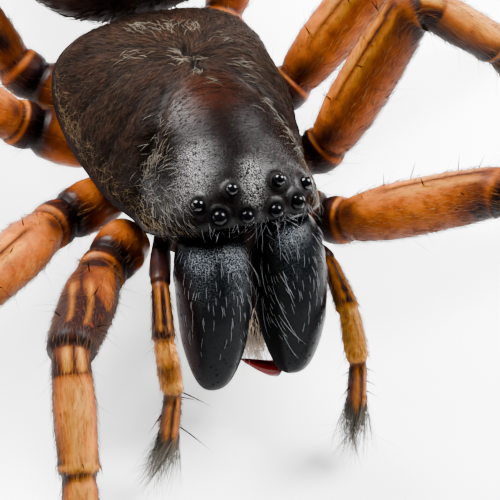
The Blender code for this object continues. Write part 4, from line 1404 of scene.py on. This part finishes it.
# %% [markdown]
# ## Hair
# A spider is hairy all over. Each hair is a thin tapering tube that leaves the skin at a low
# angle and bends back down to it. Blender's hair curves would look right here, but other programs
# drop them, so the hairs are real mesh. Geometry Nodes scatter them: points on the skin, as dense
# as a named value there, each with one bent tube that is turned along the lie of the coat. One
# tree makes every coat. Its named inputs are the sizes, in mm and degrees, and a fixed seed.

# %% Inputs of the hair tree
NAMED, STORE = "GeometryNodeInputNamedAttribute", "GeometryNodeStoreNamedAttribute"
CHANCE, TURN = "FunctionNodeRandomValue", "FunctionNodeAlignRotationToVector"
VECTOR, JOIN_XYZ = "ShaderNodeVectorMath", "ShaderNodeCombineXYZ"
DEGREES_IN_RADIAN = 57.3
HAIR_INPUTS = [
    ("Skin", "Geometry", None), ("Density", "Float", 100.0), ("Length", "Float", 0.1),
    ("Root radius", "Float", 0.004), ("Lift", "Float", 20.0), ("Scatter", "Float", 15.0),
    ("Bend", "Float", 0.4), ("Spread of length", "Float", 0.35), ("Seed", "Int", 1),
    ("Joints", "Int", 4), ("Cover", "String", "cover"), ("Lie", "String", "lie"),
    ("Material", "Material", None),
]


def open_tree():
    """An empty tree with its sockets, and the outputs of its input node."""
    tree = bpy.data.node_groups.new("hair", "GeometryNodeTree")
    for name, kind, value in HAIR_INPUTS:
        socket = tree.interface.new_socket(name, in_out="INPUT", socket_type=f"NodeSocket{kind}")
        if value is not None:
            socket.default_value = value
    tree.interface.new_socket("Hair", in_out="OUTPUT", socket_type="NodeSocketGeometry")
    return tree, tree.nodes.new("NodeGroupInput").outputs


print("the hair tree has the inputs", ", ".join(name for name, kind, value in HAIR_INPUTS))

# %% [markdown]
# A hair's direction starts from the lie of the coat, a vector on the skin's points. Chance turns
# it a little, what points into the skin is taken out, and the lift tips it up. Two turns then
# stand the tube along that aim, so that it bends down towards the skin.

# %% Direction of a hair
def turned_hair(tree, sizes, normal):
    """The turn of each hair, from the lie of the coat, chance and the lift."""
    lie = add_node(tree, NAMED, {"Name": sizes["Lie"]}, data_type="FLOAT_VECTOR")
    lie = add_node(tree, VECTOR, {0: lie}, operation="NORMALIZE")
    wander = add_node(tree, CHANCE, {
        0: (-1.0, -1.0, -1.0), 1: (1.0, 1.0, 1.0), "Seed": sizes["Seed"]}, data_type="FLOAT_VECTOR")
    spread, lift = [add_node(tree, MATH, {0: sizes[name], 1: DEGREES_IN_RADIAN}, operation="DIVIDE")
                    for name in ("Scatter", "Lift")]
    wander = add_node(tree, VECTOR, {0: wander, "Scale": spread}, operation="SCALE")
    along = add_node(tree, VECTOR, {0: lie, 1: wander}, operation="ADD")
    depth = add_node(tree, VECTOR, {0: along, 1: normal}, "Value", operation="DOT_PRODUCT")
    sink = add_node(tree, VECTOR, {0: normal, "Scale": depth}, operation="SCALE")
    flat = add_node(tree, VECTOR, {0: along, 1: sink}, operation="SUBTRACT")
    flat = add_node(tree, VECTOR, {0: flat}, operation="NORMALIZE")
    steep = add_node(tree, MATH, {0: lift}, operation="TANGENT")
    rise = add_node(tree, VECTOR, {0: normal, "Scale": steep}, operation="SCALE")
    aim = add_node(tree, VECTOR, {0: flat, 1: rise}, operation="ADD")
    upright = add_node(tree, TURN, {"Vector": aim}, axis="Z")
    return add_node(tree, TURN, {"Rotation": upright, "Vector": normal}, axis="X", pivot_axis="Z")


print("a hair's direction is worked out on every point of the skin")

# %% [markdown]
# One hair is drawn one unit long, and each point of the skin scales its own copy. A Bezier curve
# of a few joints bends it, its radius narrows towards the tip, and three sides are enough for a
# tube that is a fiftieth of a millimetre thick or less. The place along the hair and round it is
# kept, for the colour from root to tip and for the unwrap.

# %% One hair
ROOT_UNDER_SKIN = -0.08
HAIR_SIDES = 3
TIP_SHARE = 0.12


def one_hair(tree, sizes):
    """A bent, tapering tube one unit long, that stands on the origin."""
    reach, droop, shortened = [
        add_node(tree, MATH, {0: sizes["Bend"], 1: share}, operation="MULTIPLY")
        for share in (0.08, -0.5, 0.12)]
    height = add_node(tree, MATH, {0: 1.0, 1: shortened}, operation="SUBTRACT")
    middle = add_node(tree, JOIN_XYZ, {"X": reach, "Z": 0.55})
    tip = add_node(tree, JOIN_XYZ, {"X": droop, "Z": height})
    spine = add_node(tree, "GeometryNodeCurveQuadraticBezier", {
        "Resolution": sizes["Joints"], "Start": (0.0, 0.0, ROOT_UNDER_SKIN), "Middle": middle,
        "End": tip})
    place = add_node(tree, "GeometryNodeSplineParameter", {}, "Factor")
    late = add_node(tree, MATH, {0: place, 1: 1.6}, operation="POWER")
    taper = add_node(tree, RANGE, {"Value": late, "To Min": 1.0, "To Max": TIP_SHARE})
    thick = add_node(tree, MATH, {0: sizes["Root radius"], 1: sizes["Length"]}, operation="DIVIDE")
    radius = add_node(tree, MATH, {0: taper, 1: thick}, operation="MULTIPLY")
    spine = add_node(tree, "GeometryNodeSetCurveRadius", {"Curve": spine, "Radius": radius})
    ring = add_node(tree, "GeometryNodeCurvePrimitiveCircle", {
        "Resolution": HAIR_SIDES, "Radius": 1.0}, mode="RADIUS")
    spine, ring = [
        add_node(tree, STORE, {"Geometry": curve, "Name": name, "Value": place},
                 data_type="FLOAT", domain="POINT")
        for curve, name in ((spine, "strand"), (ring, "girth"))]
    hair = add_node(tree, "GeometryNodeCurveToMesh", {
        "Curve": spine, "Profile Curve": ring, "Fill Caps": True})
    for socket in hair.node.inputs:
        if socket.name == "Scale":
            tree.links.new(add_node(tree, "GeometryNodeInputRadius", {}), socket)
    return hair


print("a hair has", HAIR_SIDES, "sides and starts", -ROOT_UNDER_SKIN, "of its length under the skin")

# %% [markdown]
# The tree puts the parts together. It scatters points on the skin, gives each a shade by chance,
# and sets a turned and scaled hair on it. Instances would be lost on export, so they are made
# real. Each hair gets a small patch of the skin's own unwrap round its root as its UV map.

# %% The hair tree
# A hair's patch of the unwrap, as a share of the whole
PATCH = 0.003


def hair_tree():
    """The whole tree: scattered points, a hair on each, made real, unwrapped and coloured."""
    tree, sizes = open_tree()
    cover = add_node(tree, NAMED, {"Name": sizes["Cover"]}, data_type="FLOAT")
    density = add_node(tree, MATH, {0: cover, 1: sizes["Density"]}, operation="MULTIPLY")
    density = add_node(tree, MATH, {0: density, 1: 1.0 / (MM * MM)}, operation="MULTIPLY")
    points = add_node(tree, "GeometryNodeDistributePointsOnFaces", {
        "Mesh": sizes["Skin"], "Density": density, "Seed": sizes["Seed"]}, "Points",
        distribute_method="RANDOM")
    normal = points.node.outputs["Normal"]
    root = add_node(tree, NAMED, {"Name": "surface"}, data_type="FLOAT_VECTOR")
    points = add_node(tree, STORE, {"Geometry": points, "Name": "root", "Value": root},
                      data_type="FLOAT_VECTOR", domain="POINT")
    longer, shorter = [
        add_node(tree, MATH, {0: 1.0, 1: sizes["Spread of length"]}, operation=operation)
        for operation in ("ADD", "SUBTRACT")]
    spread = add_node(tree, CHANCE, {2: shorter, 3: longer, "Seed": sizes["Seed"]}, 1, data_type="FLOAT")
    length = add_node(tree, MATH, {0: sizes["Length"], 1: MM}, operation="MULTIPLY")
    size = add_node(tree, MATH, {0: spread, 1: length}, operation="MULTIPLY")
    shade = add_node(tree, CHANCE, {"Seed": sizes["Seed"]}, 1, data_type="FLOAT")
    points = add_node(tree, STORE, {"Geometry": points, "Name": "shade", "Value": shade},
                      data_type="FLOAT", domain="POINT")
    grown = add_node(tree, "GeometryNodeInstanceOnPoints", {
        "Points": points, "Instance": one_hair(tree, sizes), "Scale": size,
        "Rotation": turned_hair(tree, sizes, normal)})
    real = add_node(tree, "GeometryNodeRealizeInstances", {0: grown})
    girth, strand = [
        add_node(tree, NAMED, {"Name": name}, data_type="FLOAT") for name in ("girth", "strand")]
    root = add_node(tree, NAMED, {"Name": "root"}, data_type="FLOAT_VECTOR")
    patch = add_node(tree, JOIN_XYZ, {"X": girth, "Y": strand})
    patch = add_node(tree, VECTOR, {0: patch, "Scale": PATCH}, operation="SCALE")
    patch = add_node(tree, VECTOR, {0: patch, 1: root}, operation="ADD")
    mapped = add_node(tree, STORE, {"Geometry": real, "Name": "OFBake", "Value": patch},
                      data_type="FLOAT2", domain="CORNER")
    dressed = add_node(tree, "GeometryNodeSetMaterial", {
        "Geometry": mapped, "Material": sizes["Material"]})
    add_node(tree, "NodeGroupOutput", {"Hair": dressed})
    return tree


HAIR_TREE = hair_tree()
print("the hair tree has", len(HAIR_TREE.nodes), "nodes")

# %% [markdown]
# To grow a coat, a copy of the skin gets the tree as a modifier. Its inputs are set by the
# identifiers of their sockets, the result is taken as a plain mesh, and the modifier goes. Values
# that only the skin needed are dropped from the hair.

# %% Grow a coat
KEPT_VALUES = ("position", "shade", "strand", "dark")


def grow(name, skin, sizes):
    """Hair on a skin as one plain mesh. sizes are the tree's inputs by name."""
    coat = bpy.data.objects.new(name, skin.data.copy())
    bpy.context.collection.objects.link(coat)
    growth = coat.modifiers.new("growth", "NODES")
    growth.node_group = HAIR_TREE
    for socket in HAIR_TREE.interface.items_tree:
        if socket.name in sizes:
            growth[socket.identifier] = sizes[socket.name]
    graph = bpy.context.evaluated_depsgraph_get()
    mesh = bpy.data.meshes.new_from_object(coat.evaluated_get(graph))
    for attribute in [item.name for item in mesh.attributes if item.domain == "POINT"]:
        if attribute not in KEPT_VALUES:
            mesh.attributes.remove(mesh.attributes[attribute])
    coat.modifiers.remove(growth)
    coat.data = mesh
    triangles = sum(len(face.vertices) - 2 for face in mesh.polygons)
    print(f"{name}: {triangles} triangles")
    return coat


print("kept on every hair:", ", ".join(KEPT_VALUES))

# %% [markdown]
# ### Hair materials
# Hair is cuticle too, drawn out thin. It is darker at the root and paler at the tip, where light
# gets through, and no two hairs are quite alike. Blender has a hair shader, but other programs do
# not, so a rough surface with a root colour and a tip colour stands in for it. On the legs the
# hair takes up the dark bands of the skin below, and the painted shade there too.

# %% Hair materials
# The scales of a real hair are finer than 0.01 mm, which is as fine as the render can show
HAIR_SCALE = 0.01


def hair_material(name, root_colour, tip_colour, dark_colour=None):
    """Thin cuticle without gloss: paler from root to tip, and some hairs darker than others."""
    material, tree, shader, coords = new_material(name, 0.6, IOR=1.5, Specular_IOR_Level=0.02)
    strand, shade, dark = [
        add_node(tree, MARK, {}, "Fac", attribute_name=name) for name in ("strand", "shade", "dark")]
    shade, dark = [
        add_node(tree, MATH, {0: mark, 1: share}, operation="MULTIPLY", use_clamp=True)
        for mark, share in ((shade, 0.75), (dark, 0.8))]
    layers = [(strand, tip_colour), (shade, root_colour)]
    if dark_colour:
        layers.append((dark, dark_colour))
    scales = add_node(tree, NOISE, {
        "Vector": coords, "Scale": per_mm(HAIR_SCALE), "Detail": 1.0, "Roughness": 0.55})
    connect(tree, shader, {"Base Color": paint_over(tree, root_colour, layers)})
    carve(tree, shader, [(scales, 0.1, 0.001)])
    return material


# Root and tip colours, and what each looks like on the animal
PALE_HAIR = hair_material("pale_hair", "#332b22", "#827b6e")  # dusty tufts
BROWN_DOWN = hair_material("brown_down", "#070301", "#170c05")  # dark velvet of the back
SILVER_HAIR = hair_material("silver_hair", "#4c4d51", "#a0a3a8")  # cold glints on the face
WISP_HAIR = hair_material("silver_brown_hair", "#3d3935", "#9b978f")  # soft grey curls
PALE_DOWN = hair_material("pale_brown_down", "#1a110a", "#584838")  # a light haze on the velvet
HEAD_DOWN = hair_material("dark_down", "#060404", "#26221f")  # breaks the shine of the crown
TAN_HAIR = hair_material("tan_hair", "#3a2c1a", "#79674a")  # a warm edge
GOLD_HAIR = hair_material("golden_hair", "#4a260b", "#a07a44", "#21100a")  # honey fuzz on amber
SILK_HAIR = hair_material("silky_brown_hair", "#140805", "#432f21")  # smooth brown pelt
BLACK_BRISTLE = hair_material("black_bristle", "#030202", "#130d0a")  # sharp black strokes
TUFT_HAIR = hair_material("grey_tuft_hair", "#2f2b25", "#8d887d")  # dense grey brushes
CREAM_HAIR = hair_material("cream_fringe_hair", "#a08e78", "#e0d4c4")  # bright mouth fringe
print("made", BLACK_BRISTLE.name, "and the other hair materials")

# %% [markdown]
# ### Where each kind of hair grows
# The back of the thorax has short brown down that runs up to the middle line. Longer pale wisps
# curl round the corners of the head, tan hair edges the shell, and pale tufts stand at the pit.
# The crown of the head is almost bald. Its few hairs are too small to see but break the shine.
# Legs have golden hair with long bristles and a tuft under each foot, and palps end in a brush.
# Each coat is one line of a table, so that any two can be compared.

# %% The plan of the coats
SIZE_NAMES = ("Material", "Cover", "Lie", "Density", "Length", "Root radius", "Lift", "Scatter",
              "Bend", "Seed", "Joints")
CARAPACE_COATS = [
    ("hair_thorax", BROWN_DOWN, "down", "lie", 900.0, 0.1, 0.0024, 13.0, 22.0, 0.5, 3, 3),
    ("hair_thorax_pale", PALE_DOWN, "down", "lie", 420.0, 0.1, 0.0017, 17.0, 20.0, 0.5, 21, 3),
    ("hair_wisps", WISP_HAIR, "wisp", "lie", 240.0, 0.16, 0.0018, 16.0, 26.0, 0.9, 4, 5),
    ("hair_fringe", TAN_HAIR, "fringe", "lie", 1300.0, 0.11, 0.0018, 20.0, 24.0, 0.7, 8, 4),
    ("hair_tufts", PALE_HAIR, "tuft", "lie", 750.0, 0.13, 0.0024, 20.0, 30.0, 0.8, 9, 4),
    ("hair_clypeus", SILVER_HAIR, "clypeus", "ahead", 260.0, 0.13, 0.0019, 30.0, 30.0, 0.7, 10, 5),
    ("setae_clypeus", SILVER_HAIR, "fan", "ahead", 420.0, 0.34, 0.002, 14.0, 26.0, 0.5, 22, 6),
    ("hair_crown", HEAD_DOWN, "crown", "lie", 260.0, 0.07, 0.0022, 12.0, 20.0, 0.4, 12, 3),
]
JAW_COATS = [
    ("hair_{}", SILVER_HAIR, "cover", "lie", 90.0, 0.11, 0.0019, 14.0, 12.0, 0.35, 13, 4),
    ("setae_{}", SILVER_HAIR, "setae", "lie", 17.0, 0.36, 0.0021, 24.0, 16.0, 0.45, 14, 6),
]
ENDITE_COATS = [
    ("hair_{}", CREAM_HAIR, "cover", "lie", 2100.0, 0.34, 0.004, 30.0, 26.0, 0.4, 15, 3),
]
STERNUM_COATS = [
    ("hair_{}", TAN_HAIR, "cover", "lie", 160.0, 0.16, 0.003, 22.0, 20.0, 0.4, 16, 3),
]
LONG_LEG_COATS = [
    ("long_hair_{}", BLACK_BRISTLE, "cover", "lie", 9.0, 0.26, 0.003, 55.0, 16.0, 0.3, 17, 5),
    ("foot_hair_{}", TUFT_HAIR, "brush", "lie", 900.0, 0.08, 0.004, 50.0, 20.0, 0.2, 18, 3),
]
# The front legs fill the picture, so their hair is thicker than on the others
FRONT_LEG_COATS = [
    ("hair_{}", GOLD_HAIR, "cover", "lie", 640.0, 0.12, 0.0022, 22.0, 16.0, 0.35, 5, 2),
    *LONG_LEG_COATS,
]
REAR_LEG_COATS = [
    ("hair_{}", GOLD_HAIR, "cover", "lie", 440.0, 0.12, 0.0022, 22.0, 16.0, 0.35, 5, 2),
    *LONG_LEG_COATS,
]
PALP_COATS = [
    ("hair_{}", GOLD_HAIR, "cover", "lie", 700.0, 0.09, 0.0024, 22.0, 18.0, 0.35, 6, 2),
    ("brush_{}", TUFT_HAIR, "brush", "brush_lie", 3000.0, 0.5, 0.0021, 12.0, 10.0, 0.15, 19, 4),
    ("long_hair_{}", BLACK_BRISTLE, "cover", "lie", 20.0, 0.2, 0.0028, 50.0, 20.0, 0.3, 20, 5),
]
ABDOMEN_COATS = [
    ("hair_{}", SILK_HAIR, "cover", "lie", 260.0, 0.18, 0.005, 14.0, 14.0, 0.5, 7, 2),
]
PLAN = [
    (("carapace",), CARAPACE_COATS),
    (("chelicera_l", "chelicera_r"), JAW_COATS),
    (("endite_l", "endite_r"), ENDITE_COATS),
    (("sternum",), STERNUM_COATS),
    (("leg_1_l", "leg_1_r", "leg_2_l", "leg_2_r"), FRONT_LEG_COATS),
    (("leg_3_l", "leg_3_r", "leg_4_l", "leg_4_r"), REAR_LEG_COATS),
    (("palp_l", "palp_r"), PALP_COATS),
    (("abdomen",), ABDOMEN_COATS),
]
print("planned:", sum(len(nodes) * len(rows) for nodes, rows in PLAN), "coats")

# %% [markdown]
# With the plan in place, one loop grows every coat. Each line of the plan has its own seed, so
# two coats on one skin never stand on the same points.

# %% Grow every coat
coats = []
for nodes, rows in PLAN:
    for node in nodes:
        for name, *sizes in rows:
            coats.append(grow(name.format(node), pieces[node], dict(zip(SIZE_NAMES, sizes))))
print("grown:", len(coats), "coats")

# %% [markdown]
# ## Spines and claws
# Strong black spines stand on the legs and feelers, and two small hooked claws end each foot.
# Hair this strong could be scattered as the rest is, but spines are few and their places mark
# the species, so each is listed one by one: the place along the leg, the angle from its upper side
# towards the front, the length in mm and how steeply it stands.

# %% Places of the spines
LEG_SPINES = [
    (1.33, -14, 0.26, 62), (1.6, 12, 0.26, 60), (1.84, -46, 0.24, 55), (1.84, 48, 0.22, 55),
    (2.9, 0, 0.14, 55), (3.2, 66, 0.26, 40), (3.2, -66, 0.26, 40), (3.45, 150, 0.38, 32),
    (3.45, -150, 0.38, 32), (3.6, 10, 0.2, 45), (3.75, 140, 0.36, 32), (3.75, -140, 0.36, 32),
    (4.12, 150, 0.38, 32), (4.12, -150, 0.38, 32), (4.45, 80, 0.26, 38), (4.45, -80, 0.26, 38),
    (4.9, 130, 0.24, 40), (4.9, -130, 0.24, 40),
]
OWN_SPINES = {
    (1, "l"): [(1.42, -52, 0.33, 68), (1.72, -48, 0.26, 80)],
    (1, "r"): [
        (1.07, -62, 0.19, 95), (1.08, -50, 0.16, 70), (1.08, -70, 0.14, 125),
        (1.05, -66, 0.12, 60),
    ],
}
PALP_SPINES = {
    "r": [
        (3.95, 62, 0.37, 66), (4.06, 80, 0.22, 78), (4.1, 92, 0.06, 80), (4.5, 80, 0.46, 58),
        (4.3, -90, 0.3, 26), (2.85, -30, 0.12, 50),
    ],
    "l": [
        (4.1, 84, 0.14, 72), (4.35, 80, 0.2, 50), (4.1, -84, 0.14, 60), (4.5, -84, 0.2, 52),
        (4.3, -70, 0.16, 60),
    ],
}
print("spines on each leg:", len(LEG_SPINES))

# %% [markdown]
# A spine is a short sweep with its own taper, which bends down by a share of its length. A claw
# is the same thorn, shorter, thicker and more hooked, so one function makes both. None may cut
# the floor, so a route that would is held one radius above it.

# %% Spines and claws
SPINE_RADIUS = 0.0095
SPINE_ROOT_SHARE = 0.88
CLAW_RADIUS = 0.014
CLAW_LENGTH = 0.13
CLAW_SPACING = 0.035
CLAW_SAG = 0.45
# The ring that the claws grow from, counted from the tip of the leg
CLAW_RING = -4


def spine(root, aim, length, radius, sag=0.12, sides=7):
    """A tapering thorn that bends down by its sag and stays above the floor."""
    share = np.linspace(0, 1, 12)
    route = root + aim / np.linalg.norm(aim) * (share * length)[:, None]
    route[:, 2] = np.maximum(route[:, 2] - sag * length * share ** 2, radius)
    sizes = [(0.0, radius), (0.45, radius * 0.8), (0.92, radius * 0.22), (1.0, 0.0)]
    return shell(swept(route, share, sizes, sides, tall=1.0)[0])


def spines_on(route, stations, radius_stations, side, places):
    """Spines on a leg or palp, from the table of their places."""
    along, above, across = frames(route)
    shells = []
    for station, angle, length, lean in places:
        index = min(int(np.searchsorted(stations, station)), len(route) - 2)
        turn, steep = math.radians(angle) * side, math.radians(lean)
        outward = above[index] * math.cos(turn) + across[index] * math.sin(turn)
        root = route[index] + outward * read(station, radius_stations) * SPINE_ROOT_SHARE
        aim = along[index] * math.cos(steep) + outward * math.sin(steep)
        shells.append(spine(root, aim, length, SPINE_RADIUS * (0.7 + length)))
    return shells


def claws_on(route):
    """Two claws side by side at the tip of a leg."""
    along, above, across = [direction[CLAW_RING] for direction in frames(route)]
    root = route[CLAW_RING] + above * 0.01
    aim = along + np.array([0, 0, 0.25])
    return [spine(root + across * offset, aim, CLAW_LENGTH, CLAW_RADIUS, CLAW_SAG, 9)
            for offset in (-CLAW_SPACING, CLAW_SPACING)]


spine_shells, claw_shells = [], []
for number in SEGMENTS:
    for side_name, side in (("l", 1), ("r", -1)):
        route, stations = smooth_route(leg_joints(number, side_name), BEND_REACH)
        places = LEG_SPINES + OWN_SPINES.get((number, side_name), [])
        spine_shells += spines_on(route, stations, LEG_RADIUS, side, places)
        claw_shells += claws_on(route)
for side_name, side in (("l", 1), ("r", -1)):
    route, stations = smooth_route(PALP_JOINTS[side_name], PALP_BEND_REACH, PALP_STEP)
    spine_shells += spines_on(route, stations, PALP_RADIUS, side, PALP_SPINES[side_name])

# %% [markdown]
# ## Joint membrane
# Soft dark skin joins the jaws to the head and a palp to its hip. Without it the camera sees the
# floor through the gaps. Its near black is partly painted shade, as the gaps lie in shadow. It
# hardly shows, so an oval and a short tube are enough.

# %% Joint membrane
MEMBRANE_CENTRE, MEMBRANE_HALF = (-0.02, -0.06, 2.22), (0.13, 0.12, 0.2)
PALP_ROOT = ((-0.77, 0.33, 1.66), (-0.68, 0.48, 2.14))
PALP_ROOT_RADIUS = [(0.0, 0.1), (0.95, 0.12), (1.0, 0.0)]
between_jaws = shell(ball(MEMBRANE_CENTRE, 1.0, 24, 24, MEMBRANE_HALF))
route = np.linspace(*PALP_ROOT, 30)
palp_root = shell(swept(route, np.linspace(0, 1, 30), PALP_ROOT_RADIUS, 24)[0])
extras = [
    (build("membrane", [between_jaws, palp_root], MOUTH_SKIN), "mouth_skin"),
    (build("spines", spine_shells, BLACK_BRISTLE), "hair"),
    (build("claws", claw_shells, FANG_HORN), "fang_horn"),
]

# %% [markdown]
# ## Light, floor and background
# The photograph has even light from two sides over a white ground. A sun would give hard
# shadows, so two large square softboxes stand high behind the spider on its left and on its
# right, and the white card that it stands on lights it a little from below.

# %% Softboxes and white card
SOFTBOX_SIZE, SOFTBOX_POWER = 39.0, 0.6
SOFTBOX_AIM = (0, 0.5, 2)
SOFTBOXES = {"softbox_left": (-27.3, 53.3, 46.1), "softbox_right": (52.2, 11.0, 54.5)}
FLOOR_SIZE = 0.6
CARD_GLOW = 0.8
STUDIO_GLOW = 0.15


def make_softbox(name, place):
    data = bpy.data.lights.new(name, "AREA")
    data.shape = "SQUARE"
    data.size = SOFTBOX_SIZE * MM
    data.energy = SOFTBOX_POWER
    lamp = bpy.data.objects.new(name, data)
    lamp.location = Vector(world(place))
    aim = Vector(world(SOFTBOX_AIM)) - lamp.location
    lamp.rotation_euler = aim.to_track_quat("-Z", "Y").to_euler()
    bpy.context.collection.objects.link(lamp)


def make_floor():
    """Matt white card: it glows a little, so that it looks as white as in the photograph."""
    material, tree, shader, coords = new_material("white_card", 0.7)
    # Uneven whiteness in patches 6 mm wide
    clouds = add_node(tree, NOISE, {
        "Vector": coords, "Scale": per_mm(6.0), "Detail": 3.0, "Roughness": 0.55})
    connect(tree, shader, {
        "Base Color": paint_over(tree, "#f1f1f2", [(clouds, "#f6f6f6")]),
        "Emission Color": "#ffffff", "Emission Strength": CARD_GLOW})
    bpy.ops.mesh.primitive_plane_add(size=FLOOR_SIZE)
    floor = bpy.context.object
    floor.name = "floor"
    floor.data.materials.append(material)


def make_background():
    studio = bpy.data.worlds.new("studio")
    studio.use_nodes = True
    background = studio.node_tree.nodes["Background"]
    connect(studio.node_tree, background, {"Color": "#ffffff", "Strength": STUDIO_GLOW})
    bpy.context.scene.world = studio


make_floor()
make_background()
for name, place in SOFTBOXES.items():
    make_softbox(name, place)
print("lit by", len(SOFTBOXES), "softboxes of", SOFTBOX_SIZE, "mm")

# %% [markdown]
# ## Hand every piece to the frame
# The spider is a still model, so every piece rides on its one body. Each skin, eye and fang takes
# the place of the solid that it was drawn over. Hair, spines, claws and membrane have no solid of
# their own.

# %% Hand every piece to the frame
for node, piece in pieces.items():
    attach(piece, "root")
    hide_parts(node)
for piece, slot_name in [(coat, "hair") for coat in coats] + extras:
    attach(piece, "root")

print("handed over:", len(pieces), "skins and", len(coats) + len(extras), "other pieces")
